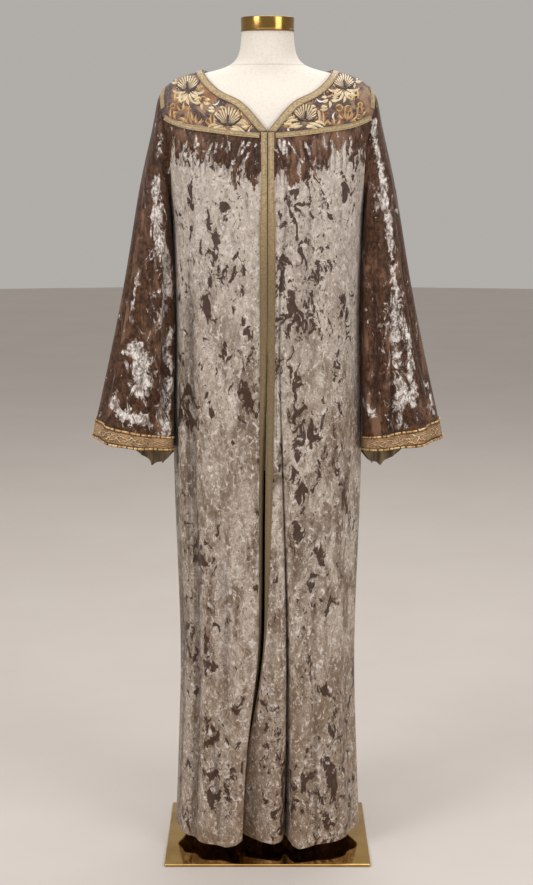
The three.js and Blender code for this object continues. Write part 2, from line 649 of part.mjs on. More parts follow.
function neckBandBack() {
  const stations = [115.2, 113.4, 110, 103, 92, 79, 64, 49, 32, 16];
  const half = stations.map((across) =>
    spotAcross("back", across, readTable(NECKLINE_BACK, "across", "height", across)),
  );
  const corner = spotAcross("back", NECK_POINT.across, NECK_POINT.height);
  half.unshift(offShoulder("back", corner));
  const middle = { height: NECKLINE_BACK[0].height, angle: PI };
  const mirrored = half.map(({ height, angle }) => ({ height, angle: 2 * PI - angle })).reverse();
  const spots = [...half, middle, ...mirrored];
  return ribbon("neck_band_back", spots, fromNeck, 0, NECK_BAND_WIDTH, [["", 1]]);
}

function yokeBands() {
  const stations = [14.6, 30, 46, 62, 80, 98, 116, 134, 150, 163, 174, 183];
  const spots = stations.map((across) =>
    spotAcross("front", across, readTable(YOKE_HEM_FRONT, "across", "height", across)),
  );
  const up = () => point(0, 0, 1);
  return ribbon("yoke_band", spots, up, -SEAM_COVER, YOKE_BAND_WIDTH, BOTH_SIDES);
}

function yokeBandBack() {
  const stations = [183, 170, 152, 130, 105, 80, 54, 27];
  const half = stations.map((across) =>
    spotAcross("back", across, readTable(YOKE_HEM_BACK, "across", "height", across)),
  );
  const middle = { height: YOKE_HEM_BACK[0].height, angle: PI };
  const mirrored = half.map(({ height, angle }) => ({ height, angle: 2 * PI - angle })).reverse();
  const up = () => point(0, 0, 1);
  const spots = [...half, middle, ...mirrored];
  return ribbon("yoke_band_back", spots, up, -SEAM_COVER, YOKE_BAND_WIDTH, [["", 1]]);
}

function armholeBands() {
  const foot = armholeFoot("front") + SEAM_GAP + YOKE_BAND_WIDTH + 2.5;
  const top = ARMHOLE.middle + ARMHOLE.halfHeight;
  const rows = 7;
  const half = (face) =>
    Array.from({ length: rows }, (_, row) => {
      const height = foot + (top - foot) * sin((PI / 2) * (row / rows));
      return { height, angle: armholeAngle(face, height) };
    });
  const spots = [...half("front"), { height: top, angle: PI / 2 }, ...half("back").reverse()];
  const away = (p) => point(-30, p.y, p.z - ARMHOLE.middle);
  const lift = ARMHOLE_BAND_LIFT;
  return ribbon("armhole_band", spots, away, 1.6, ARMHOLE_BAND_WIDTH, BOTH_SIDES, { lift });
}

// ---------------------------------------------------------------- front and back panels
// Arc lengths round a ring, from the middle of the front to the middle of the back.
const ARC_STEPS = 180;
const arcsByHeight = new Map();
function arcsAt(height) {
  if (!arcsByHeight.has(height)) {
    const arcs = [0];
    for (let k = 1; k <= ARC_STEPS; k += 1) {
      const [from, to] = [k - 1, k].map((n) =>
        ringPoint(GOWN_RINGS, height, (PI * n) / ARC_STEPS),
      );
      arcs.push(arcs[k - 1] + from.distanceTo(to));
    }
    arcsByHeight.set(height, arcs);
  }
  return arcsByHeight.get(height);
}

function arcOfAngle(height, angle) {
  const arcs = arcsAt(height);
  const step = min(ARC_STEPS - 1, Math.floor((angle / PI) * ARC_STEPS));
  return arcs[step] + (arcs[step + 1] - arcs[step]) * ((angle / PI) * ARC_STEPS - step);
}

function angleOfArc(height, arc) {
  const arcs = arcsAt(height);
  const length = abs(arc);
  let step = 0;
  while (step < ARC_STEPS - 1 && arcs[step + 1] < length) step += 1;
  const angle = (PI / ARC_STEPS) * (step + (length - arcs[step]) / (arcs[step + 1] - arcs[step]));
  return arc < 0 ? -angle : angle;
}

// The fold lines and one column between each two, as smooth curves across the panel.
function foldColumns(folds, key, height) {
  const table = FOLD_HEIGHTS.map((level, k) => {
    const row = { level };
    folds.forEach((fold, n) => {
      row[n] = fold[key][k];
    });
    return row;
  }).reverse();
  const lines = folds.map((_, n) => readTable(table, "level", n, height));
  return lines.flatMap((value, n) => {
    if (n === lines.length - 1) return [value];
    const before = lines[max(0, n - 1)];
    const after = lines[min(lines.length - 1, n + 2)];
    const between = (9 * (value + lines[n + 1]) - before - after) / 16;
    return [value, between];
  });
}

// The angle on the ring at an arc from the middle of the front or of the back. Minus is the right.
function panelAngle(face, height, arc) {
  if (face === "front") return angleOfArc(height, arc);
  const whole = arcsAt(height)[ARC_STEPS];
  return PI - Math.sign(arc) * (PI - angleOfArc(height, whole - abs(arc)));
}

// One panel as rows of points on its outer surface. Panel "face" hangs from that half of the yoke.
function panelRows(face, folds, fromMiddle) {
  const hemTable = yokeFace[face].hem;
  const count = 2 * folds.length - 1;
  const edgeArc = (height) => {
    const side = height > ARMHOLE.middle - ARMHOLE.halfHeight;
    const angle = side ? armholeAngle(face, height, SEAM_GAP) : PI / 2;
    const arc = arcOfAngle(height, angle);
    const whole = arcsAt(height)[ARC_STEPS];
    return (face === "front" ? arc : whole - arc) - SEAM_GAP;
  };
  return PANEL_LEVELS.map((level) => {
    const lift = max(0, level - CHEST_LEVEL) / (YOKE_LEVEL - CHEST_LEVEL);
    return Array.from({ length: count }, (_, column) => {
      let height = level;
      let arc = 0;
      for (let round = 0; round < (lift > 0 ? 5 : 1); round += 1) {
        const across = foldColumns(folds, "across", height)[column];
        arc = (across * edgeArc(height)) / PANEL_WIDTH;
        const x = abs(ringPoint(GOWN_RINGS, height, panelAngle(face, height, arc)).x);
        const seam = readTable(hemTable, "across", "height", x);
        height = min(level, CHEST_LEVEL) + lift * (seam - 2 * SEAM_GAP - CHEST_LEVEL);
      }
      if (fromMiddle && level >= WAIST_LEVEL) arc = max(arc, CENTRE_GAP);
      const angle = panelAngle(face, height, arc);
      const here = ringPoint(GOWN_RINGS, height, angle);
      const outward = ringNormal(GOWN_RINGS, height, angle).setZ(0).normalize();
      const deep = foldColumns(folds, "deep", height)[column];
      const edge = min(column, count - 1 - column);
      const onCrest = column % 2 === 0 && edge > 1;
      const crest = onCrest ? readTable(GATHERS, "below", "out", YOKE_LEVEL - level) : 0;
      return here.addScaledVector(outward, crest - deep);
    });
  });
}

// Moves a grid of points along its own normals, which come from its neighbours. Columns on a side
// seam or armhole take the ring's normal, so that two panels meet square there.
function movedOut(rows, out, turned, seams = []) {
  const lastRow = rows.length - 1;
  const lastColumn = rows[0].length - 1;
  return rows.map((row, r) =>
    row.map((p, c) => {
      const round = row[min(c + 1, lastColumn)].clone().sub(row[max(c - 1, 0)]);
      const up = rows[min(r + 1, lastRow)][c].clone().sub(rows[max(r - 1, 0)][c]);
      const normal = round.cross(up).normalize().multiplyScalar(turned);
      if (seams.includes(c)) {
        const angle = angleForward(GOWN_RINGS, p.z, p.y) * sign(p.x);
        normal.copy(ringNormal(GOWN_RINGS, p.z, angle));
      }
      return p.clone().addScaledVector(normal, out);
    }),
  );
}

function mirrored(rows) {
  return rows.map((row) => row.map((p) => point(-p.x, p.y, p.z)));
}

function frontPanels() {
  const pieces = [];
  for (const [suffix, side, folds] of [["_left", 1, LEFT_FOLDS], ["_right", -1, RIGHT_FOLDS]]) {
    const rows = panelRows("front", folds, true);
    const place = (grid) => (side > 0 ? grid : mirrored(grid));
    const inner = movedOut(rows, -VELVET, 1, [rows[0].length - 1]);
    pieces.push(wall("front" + suffix, "velvet", place(rows), place(inner)));

    // The placket's ribbon lies on the panel's first three columns and runs up over the yoke.
    const strip = rows.map((row) => row.slice(0, 3));
    const [low, high] = [SEAM_GAP, SEAM_GAP + RIBBON].map((out) =>
      movedOut(rows, out, 1).map((row) => row.slice(0, 3)),
    );
    const top = [low, high].map((grid, k) =>
      strip[strip.length - 1].map((p) => {
        const spot = spotAcross("front", p.x, PLACKET_TOP);
        return lifted(GOWN_RINGS, spot.height, spot.angle, BAND_LIFT + k * RIBBON);
      }),
    );
    low.push(top[0]);
    high.push(top[1]);
    pieces.push(wall("placket" + suffix, "ribbon", place(high), place(low)));
  }
  return pieces;
}

function backPanel() {
  const rows = panelRows("back", BACK_FOLDS, false);
  const inner = movedOut(rows, -VELVET, -1, [0, rows[0].length - 1]);
  return wall("back", "velvet", rows, inner);
}

// ---------------------------------------------------------------- sleeves
// Keeps a point clear of the gown: one that lies inside its ring is moved out to it.
function clearOfGown(p, clear) {
  const [halfWidth, depth, square] = ["halfWidth", p.y < 0 ? "front" : "back", "square"].map(
    (column) => readTable(GOWN_RINGS, "height", column, p.z),
  );
  const reach =
    (abs(p.x) / (halfWidth + clear)) ** square + (abs(p.y) / (depth + clear)) ** square;
  if (reach >= 1) return p;
  const grow = reach ** (-1 / square);
  return point(p.x * grow, p.y * grow, p.z);
}

function sleevePoint(folds, share, turn) {
  const [upperX, upperZ, lowerX, lowerZ, halfDepth] = [
    "upperX",
    "upperZ",
    "lowerX",
    "lowerZ",
    "halfDepth",
  ].map((column) => readTable(SLEEVE_LINES, "share", column, share));
  const round = rad(turn);
  const toUpper = (1 + cos(round)) / 2;
  const x = lowerX + (upperX - lowerX) * toUpper;
  const fromDrop = min(1, abs(turn - BACK_DROP.turn) / BACK_DROP.wide);
  const drop = BACK_DROP.most * share ** 3 * cos((fromDrop * PI) / 2) ** 2;
  const z = lowerZ + (upperZ - lowerZ) * toUpper - drop;
  const y = -halfDepth * sin(round);
  let out = 0;
  for (const fold of folds) {
    const off = ((turn - fold.turn + 540) % 360) - 180;
    if (abs(off) < fold.wide) out += fold.out * cos(((off / fold.wide) * PI) / 2) ** 2;
  }
  const strength = share ** 1.3;
  const outward = point(cos(round) * (upperZ - lowerZ > 150 ? 0.3 : 1), -sin(round), 0);
  return point(x, y, z).addScaledVector(outward, out * strength);
}

function sleeveSkin(folds, share, turn, out) {
  const here = sleevePoint(folds, share, turn);
  const down = sleevePoint(folds, share + 0.004, turn).sub(
    sleevePoint(folds, max(0, share - 0.004), turn),
  );
  const round = sleevePoint(folds, share, turn + 1.5).sub(sleevePoint(folds, share, turn - 1.5));
  const normal = round.cross(down).normalize();
  return here.addScaledVector(normal, out);
}

// Rings of a sleeve's skin, moved out by so much. The first ring lies in the armhole.
function sleeveRings(side, shares, out) {
  const folds = SLEEVE_FOLDS[side];
  return shares.map((share) =>
    Array.from({ length: SLEEVE_COLUMNS }, (_, column) => {
      const turn = (360 * column) / SLEEVE_COLUMNS;
      if (share === 0) {
        const round = rad(turn);
        const inset = ARMHOLE_EASE - out;
        const y = -(ARMHOLE.halfDepth - inset) * sin(round);
        const z = ARMHOLE.middle + (ARMHOLE.halfHeight - inset) * cos(round);
        const on = ringPoint(GOWN_RINGS, z, angleForward(GOWN_RINGS, z, y || -1e-6));
        return on.setX(on.x - HEAD_SEAT);
      }
      const clear = share < HEAD_SHARE ? HEAD_CLEAR + out : SLEEVE_CLEAR - out;
      return clearOfGown(sleeveSkin(folds, share, turn, out), clear);
    }),
  );
}

function sleevePieces() {
  const cuffShares = [CUFF_SHARE, (CUFF_SHARE + 1) / 2, 1];
  const facingShares = [FACING_SHARE, CUFF_SHARE, 0.998];
  const pieces = [];
  for (const [side, turned] of [["left", 1], ["right", -1]]) {
    const ring = (shares, out) => {
      const rows = sleeveRings(side, shares, out);
      return turned > 0 ? rows : mirrored(rows);
    };
    const tube = (name, finish, shares, outer, thick) =>
      wall(`${name}_${side}`, finish, ring(shares, outer), ring(shares, outer - thick), true);
    pieces.push(tube("sleeve", "velvet", SLEEVE_SHARES, 0, VELVET));
    pieces.push(tube("cuff", "brocade", cuffShares, BROCADE - VELVET, BROCADE));
    pieces.push(tube("cuff_facing", "satin", facingShares, -VELVET - SEAM_GAP, SATIN));
  }
  return pieces;
}

// ---------------------------------------------------------------- the whole part
const jalabiya = new THREE.Group();
jalabiya.add(basePlate(), standPole(), dressForm(), neckCap());
jalabiya.add(yokePiece("yoke_front_left", 1), yokePiece("yoke_front_right", -1), yokeBack());
jalabiya.add(...neckBands(), ...neckBandBack(), ...yokeBands(), ...yokeBandBack());
jalabiya.add(...armholeBands());
jalabiya.add(...frontPanels(), backPanel(), ...sleevePieces());

export default jalabiya;
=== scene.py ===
"""A crushed-velvet jalabiya with an embroidered yoke, on a limbless dress form with a square brass stand."""
import math

import bmesh
import bpy
import numpy as np
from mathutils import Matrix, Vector
from mathutils.bvhtree import BVHTree
from mathutils.kdtree import KDTree


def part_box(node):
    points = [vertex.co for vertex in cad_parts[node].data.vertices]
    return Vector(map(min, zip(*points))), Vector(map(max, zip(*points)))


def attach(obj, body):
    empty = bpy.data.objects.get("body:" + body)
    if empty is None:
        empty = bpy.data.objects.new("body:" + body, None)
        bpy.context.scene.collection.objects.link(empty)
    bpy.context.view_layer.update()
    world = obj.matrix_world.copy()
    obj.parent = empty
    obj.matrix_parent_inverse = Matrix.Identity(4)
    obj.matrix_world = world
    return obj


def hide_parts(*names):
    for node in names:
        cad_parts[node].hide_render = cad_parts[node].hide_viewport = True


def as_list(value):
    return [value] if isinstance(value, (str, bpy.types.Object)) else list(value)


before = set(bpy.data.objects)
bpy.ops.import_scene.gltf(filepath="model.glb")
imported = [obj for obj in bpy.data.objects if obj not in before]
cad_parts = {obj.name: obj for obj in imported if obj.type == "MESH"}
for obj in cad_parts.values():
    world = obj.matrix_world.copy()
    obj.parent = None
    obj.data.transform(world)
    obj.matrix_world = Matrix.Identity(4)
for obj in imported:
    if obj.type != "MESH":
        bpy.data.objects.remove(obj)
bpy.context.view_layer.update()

# ---------------------------------------------------------------- sizes, in metres
VELVET = 0.0016
YOKE_CLOTH = 0.002
RIBBON = 0.0011
BROCADE = 0.0022
SATIN = 0.0012
PLATE = (0.386, 0.3, 0.005)
POLE_RADIUS = 0.011
FORM_FOOT, FORM_TOP = 0.7425, 1.525  # the form's flat ends lie below and above these
NECK_SEAM = 1.4665
SHOULDER = 1.31  # height of the middle of the armholes
SLEEVE_ROOT, SLEEVE_SPREAD = 0.19, 0.105  # the sleeve's middle there, and how much further out per metre down
CUFF_RADIUS = 0.073  # of a circle as long as the cuff
CUFF_GROWTH, CUFF_DROP = 0.007, 0.002  # how much taller the cuff band is made, and how far it moves down
RIBBON_LIFT = 0.0006  # how far a ribbon's inside stands off the cloth that it is sewn to
PLACKET_GAP = 0.00095  # what each front ribbon takes of the gap in the middle
DARK_FOOT, DARK_RISE = 1.276, 0.036  # height of the dark pile's lower edge, and its rise by the armhole
SEAM_FROM, SEAM_REACH = 0.14, 0.004  # the side seams: further out than this, and this far to each side
SEAM_CLOSE = 0.0003  # brings the two cloths of a side seam together
HEM, HEM_REACH = 0.024, 0.09  # height of the hem, and how far up its lift is felt


def srgb(red, green, blue):
    """A colour from 0-255 values, as the shader reads it."""
    shares = [c / 255 for c in (red, green, blue)]
    return (*(c / 12.92 if c < 11 / 255 else ((c + 0.055) / 1.055) ** 2.4 for c in shares), 1.0)


# ---------------------------------------------------------------- hand tools
def only(piece):
    bpy.ops.object.select_all(action="DESELECT")
    piece.select_set(True)
    bpy.context.view_layer.objects.active = piece


def primitive(add, name, **settings):
    """A new primitive, with nothing else selected."""
    bpy.ops.object.select_all(action="DESELECT")
    add(**settings)
    piece = bpy.context.object
    piece.name = name
    return piece


def new_piece(name, bm):
    mesh = bpy.data.meshes.new(name)
    bm.to_mesh(mesh)
    bm.free()
    piece = bpy.data.objects.new(name, mesh)
    bpy.context.collection.objects.link(piece)
    return piece


def merged_copy(node, name):
    """A copy of a node as a new piece, and its mesh with the corners joined, ready to be worked on."""
    piece = bpy.data.objects.new(name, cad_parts[node].data.copy())
    bpy.context.collection.objects.link(piece)
    bm = bmesh.new()
    bm.from_mesh(piece.data)
    bmesh.ops.remove_doubles(bm, verts=bm.verts, dist=1e-6)
    return piece, bm


def finish_with(piece, kind, **settings):
    """Adds one modifier and applies it."""
    only(piece)
    modifier = piece.modifiers.new(kind.title(), kind)
    for key, value in settings.items():
        setattr(modifier, key, value)
    bpy.ops.object.modifier_apply(modifier=modifier.name)


def smooth_by(piece, degrees):
    only(piece)
    bpy.ops.object.shade_smooth_by_angle(angle=math.radians(degrees))


def places(piece, key="co"):
    spots = np.empty(len(piece.data.vertices) * 3)
    piece.data.vertices.foreach_get(key, spots)
    return spots.reshape(-1, 3)


def place(piece, spots):
    piece.data.vertices.foreach_set("co", spots.ravel())
    piece.data.update()


def mark(piece, name, values):
    """Stores a number for each vertex, for the materials to read."""
    layer = piece.data.attributes.new(name, "FLOAT", "POINT")
    layer.data.foreach_set("value", np.asarray(values, dtype=np.float32))


def ramp(value, start, reach):
    """Rises from 0 at the start to 1 at reach from it."""
    return np.clip((value - start) / reach, 0, 1)


def smoothed(value):
    """A smooth step from 0 to 1."""
    value = np.clip(value, 0, 1)
    return value * value * (3 - 2 * value)


def tree_of(*pieces):
    """What rays and nearest spots on some pieces are found with."""
    points, faces = [], []
    for piece in pieces:
        start = len(points)
        points += [v.co.copy() for v in piece.data.vertices]
        faces += [[start + v for v in face.vertices] for face in piece.data.polygons]
    return BVHTree.FromPolygons(points, faces)


def dress(piece, material, slot, *nodes):
    """Gives a finished piece its material and its body, and hides the nodes that it stands for. The slot is not
    used.
    """
    piece.data.materials.clear()
    piece.data.materials.append(material)
    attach(piece, "root")
    if nodes:
        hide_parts(*nodes)


# ---------------------------------------------------------------- cloth from the solids
def body_middle(z):
    return Vector((0.0, 0.0, z))


def sleeve_middle(side):
    return lambda z: Vector((side * (SLEEVE_ROOT + SLEEVE_SPREAD * max(0.0, SHOULDER - z)), 0.0, z))


def whole_quads(bm):
    """Turns a sheet's triangles back into the four-sided faces that they were cut from."""
    bm.faces.ensure_lookup_table()
    best = None
    for start in range(3):
        first = bm.faces[0]
        label = {loop.edge: (k + start) % 3 for k, loop in enumerate(first.loops)}
        queue, seen = [first], {first}
        while queue:
            for loop in queue.pop().loops:
                over = loop.link_loop_radial_next
                if over.face in seen:
                    continue
                label[over.link_loop_next.edge] = (label[loop.edge] + 1) % 3
                label[over.link_loop_prev.edge] = (label[loop.edge] + 2) % 3
                seen.add(over.face)
                queue.append(over.face)
        cuts = [edge for edge, k in label.items() if k == 2]
        if any(edge.is_boundary for edge in cuts):
            continue
        length = sum(edge.calc_length() for edge in cuts)
        if best is None or length > best[0]:
            best = (length, cuts)
    bmesh.ops.dissolve_edges(bm, edges=best[1], use_verts=False)


def outer_cloth(node, name, wall, middle=body_middle, slack=8e-7):
    """The outside of a node's cloth, as an open sheet with neither its cut edges nor its inside."""
    piece, bm = merged_copy(node, name)
    through = {edge for edge in bm.edges if abs(edge.calc_length() - wall) < slack}
    through -= {
        edge for edge in through if all(len(through.intersection(v.link_edges)) > 1 for v in edge.verts)
    }
    cut = {face for edge in through for face in edge.link_faces}
    beside = {
        face: [f for e in face.edges if e not in through for f in e.link_faces if f is not face]
        for face in cut
    }
    bmesh.ops.delete(bm, geom=[face for face in cut if cut.intersection(beside[face])], context="FACES")
    left = set(bm.faces)
    while left:
        seed = left.pop()
        layer, queue = [seed], [seed]
        while queue:
            for edge in queue.pop().edges:
                for face in edge.link_faces:
                    if face in left:
                        left.remove(face)
                        layer.append(face)
                        queue.append(face)
        spots = [f.calc_center_median() for f in layer]
        if sum(f.calc_area() * f.normal.dot(p - middle(p.z)) for f, p in zip(layer, spots)) < 0:
            bmesh.ops.delete(bm, geom=layer, context="FACES")
    whole_quads(bm)
    bm.to_mesh(piece.data)
    bm.free()
    return piece


def made_fine(piece):
    finish_with(piece, "SUBSURF", levels=3, render_levels=3, boundary_smooth="PRESERVE_CORNERS")


def made_thick(piece, wall):
    finish_with(piece, "SOLIDIFY", thickness=wall, offset=-1.0)
    smooth_by(piece, 50)


def ridges(piece):
    """How much each spot of the cloth stands out as a ridge (above 0) or lies in a hollow."""
    spots, normals = places(piece), places(piece, "normal")
    ends = np.empty(len(piece.data.edges) * 2, dtype=np.int64)
    piece.data.edges.foreach_get("vertices", ends)
    a, b = ends.reshape(-1, 2).T
    step = spots[a] - spots[b]
    square = np.maximum((step**2).sum(1), 1e-9)
    total, count = np.zeros(len(spots)), np.zeros(len(spots))
    np.add.at(total, a, (step * normals[a]).sum(1) / square)
    np.add.at(total, b, -(step * normals[b]).sum(1) / square)
    np.add.at(count, a, 1)
    np.add.at(count, b, 1)
    bend = total / count
    for _ in range(6):
        gathered = np.zeros(len(spots))
        np.add.at(gathered, a, bend[b])
        np.add.at(gathered, b, bend[a])
        bend = 0.5 * bend + 0.5 * gathered / count
    return np.clip(bend / 20, -1, 1)


def run(points, spots, normals):
    """For each spot: its distance to a line of points, the share along it, and the side it lies on."""
    points = np.asarray(points, dtype=float)
    lengths = np.linalg.norm(np.diff(points, axis=0), axis=1)
    best = np.full(len(spots), np.inf)
    share, side = np.zeros(len(spots)), np.zeros(len(spots))
    done = 0.0
    for k, length in enumerate(lengths):
        way = (points[k + 1] - points[k]) / length
        off = spots - points[k]
        t = np.clip(off @ way, 0, length)
        gap = off - t[:, None] * way
        distance = np.linalg.norm(gap, axis=1)
        closer = distance < best
        best[closer] = distance[closer]
        share[closer] = ((done + t) / lengths.sum())[closer]
        side[closer] = (np.cross(way, normals) * gap).sum(1)[closer]
        done += length
    return best, share, np.sign(side)


# From where a line is seen: the first spot of a ray through (across, height), and its way.
VIEWS = {
    "front": (lambda across, height: (across, -1.0, height), (0, 1, 0)),
    "back": (lambda across, height: (across, 1.0, height), (0, -1, 0)),
    "left": (lambda across, height: (1.0, across, height), (-1, 0, 0)),
    "right": (lambda across, height: (-1.0, across, height), (1, 0, 0)),
}


def on_cloth(tree, table):
    """The rows of a table by view, each with its line of points (across and high, in mm) put on the cloth."""
    for view, rows in table.items():
        start, way = VIEWS[view]
        for line, *rest in rows:
            hits = [tree.ray_cast(Vector(start(a / 1000, h / 1000)), Vector(way))[0] for a, h in line]
            hits = [hit for hit in hits if hit is not None]
            if len(hits) > 1:
                yield (hits, *rest)


def pushed(pieces, table, shape):
    """Moves cloth along its normals by what a shape gives near each line of a table."""
    rows = list(on_cloth(tree_of(*pieces), table))
    for piece in pieces:
        spots, normals = places(piece), places(piece, "normal")
        shift = np.zeros(len(spots))
        for line, *sizes in rows:
            shift += shape(*run(line, spots, normals), *sizes)
        place(piece, spots + normals * shift[:, None])


def crease(distance, share, side, width, rise, lean):
    """A fold or a crease that runs out at both ends and may lean to one side."""
    reach = np.where(side * lean > 0, width * (1 + abs(lean)), width) / 1000
    taper = smoothed(np.minimum(share, 1 - share) * 6)
    return rise / 1000 * taper * np.exp(-((distance / reach) ** 2))


def pleat(distance, share, side, reach, rise, top):
    """The cloth on one side of a line lies over the other. Top is the side that is on top."""
    taper = np.clip(share * 4, 0, 1)
    over = np.where(side * top > 0, 1.0, -0.7)
    return rise / 1000 * taper * over * np.exp(-distance * 1000 / reach)


def painted(piece, table):
    """A soft mask round given lines: points, width, strength."""
    spots = places(piece)
    amount = np.zeros(len(spots))
    for line, width, strength in on_cloth(tree_of(piece), table):
        distance = run(line, spots, spots)[0]
        amount = np.maximum(amount, strength * np.exp(-((distance * 1000 / width) ** 2)))
    return amount


def lay_on(piece, tree, lift, near=0.02):
    """Lays a sheet on what carries it."""
    spots = []
    for v in piece.data.vertices:
        on, normal, _, distance = tree.find_nearest(v.co)
        spots.append(on + normal * lift if distance < near else v.co)
    place(piece, np.array([tuple(p) for p in spots]))


def distances(piece, points):
    """The distance of each vertex from the nearest of some points."""
    tree = KDTree(len(points))
    for k, point in enumerate(points):
        tree.insert(point, k)
    tree.balance()
    return np.array([tree.find(v.co)[2] for v in piece.data.vertices])


def edge_distance(piece):
    """Distance of each vertex of an open sheet from its nearest cut edge."""
    bm = bmesh.new()
    bm.from_mesh(piece.data)
    rim = [edge for edge in bm.edges if edge.is_boundary]
    points = []
    for edge in rim:
        a, b = (v.co for v in edge.verts)
        pieces = max(1, int((b - a).length / 0.001))
        points += [a.lerp(b, k / pieces) for k in range(pieces)]
    bm.free()
    return distances(piece, points)


# ---------------------------------------------------------------- material tools
FLOAT, COLOUR, VECTOR = "NodeSocketFloat", "NodeSocketColor", "NodeSocketVector"


class Nodes:
    """Adds shader nodes to one tree. An input is linked where it is a socket, and set where it is a value."""

    def __init__(self, tree):
        self.tree = tree

    def link(self, socket, to):
        self.tree.links.new(socket, to)

    def add(self, kind, inputs, **settings):
        node = self.tree.nodes.new("ShaderNode" + kind)
        for key, value in settings.items():
            setattr(node, key, value)
        for key, value in inputs.items():
            if isinstance(value, bpy.types.NodeSocket):
                self.link(value, node.inputs[key])
            else:
                node.inputs[key].default_value = value
        return node.outputs

    def math(self, operation, *values):
        return self.add("Math", dict(enumerate(values)), operation=operation)[0]

    def times(self, a, b):
        return self.math("MULTIPLY", a, b)

    def plus(self, a, b):
        return self.math("ADD", a, b)

    def minus(self, a, b):
        return self.math("SUBTRACT", a, b)

    def apart(self, a, b):
        return self.math("ABSOLUTE", self.minus(a, b))

    def weighed(self, a, weight, b):
        return self.math("MULTIPLY_ADD", a, weight, b)

    def mix(self, share, a, b, blend="MIX"):
        return self.add("Mix", {0: share, 6: a, 7: b}, data_type="RGBA", blend_type=blend)[2]

    def step(self, value, low, high, out_low=0.0, out_high=1.0):
        limits = {"From Min": low, "From Max": high, "To Min": out_low, "To Max": out_high}
        return self.add("MapRange", {"Value": value, **limits}, interpolation_type="SMOOTHSTEP")[0]

    def speckle(self, where, stretch, scale, detail=2.0, rough=0.5, warp=0.0):
        """Noise over the surface. Stretch is its scale along each axis, or upwards alone."""
        stretch = stretch if isinstance(stretch, tuple) else (1, 1, stretch)
        at = self.add("Mapping", {"Vector": where, "Scale": stretch})[0]
        grain = {"Scale": scale, "Detail": detail, "Roughness": rough, "Distortion": warp}
        return self.add("TexNoise", {"Vector": at, **grain})["Fac"]

    def place(self):
        return self.add("TexCoord", {})["Object"]

    def axis(self, where, k):
        return self.add("SeparateXYZ", {0: where})[k]

    def mark(self, name):
        return self.add("Attribute", {}, attribute_name=name, attribute_type="GEOMETRY")["Fac"]

    def group(self, group, inputs):
        return self.add("Group", inputs, node_tree=group)


class Look(Nodes):
    """A material being made: constants go on the shader's own sockets."""

    def __init__(self, name, **constants):
        self.material = bpy.data.materials.new(name)
        self.material.use_nodes = True
        super().__init__(self.material.node_tree)
        self.shader = self.tree.nodes["Principled BSDF"].inputs
        for key, value in constants.items():
            self.shader[key.replace("_", " ")].default_value = value

    def done(self, colour, height=None, distance=0.0, strength=1.0, rough=None):
        """The material with its colour, its relief (height, reach and strength) and its roughness."""
        self.link(colour, self.shader["Base Color"])
        if rough is not None:
            self.link(rough, self.shader["Roughness"])
        if height is not None:
            relief = {"Height": height, "Distance": distance, "Strength": strength}
            self.link(self.add("Bump", relief)[0], self.shader["Normal"])
        return self.material


def new_group(name, inputs, outputs):
    group = bpy.data.node_groups.new(name, "ShaderNodeTree")
    for title, kind, value in inputs:
        socket = group.interface.new_socket(title, in_out="INPUT", socket_type=kind)
        if value is not None:
            socket.default_value = value
    for title, kind in outputs:
        group.interface.new_socket(title, in_out="OUTPUT", socket_type=kind)
    return Nodes(group), group.nodes.new("NodeGroupInput").outputs, group.nodes.new("NodeGroupOutput").inputs


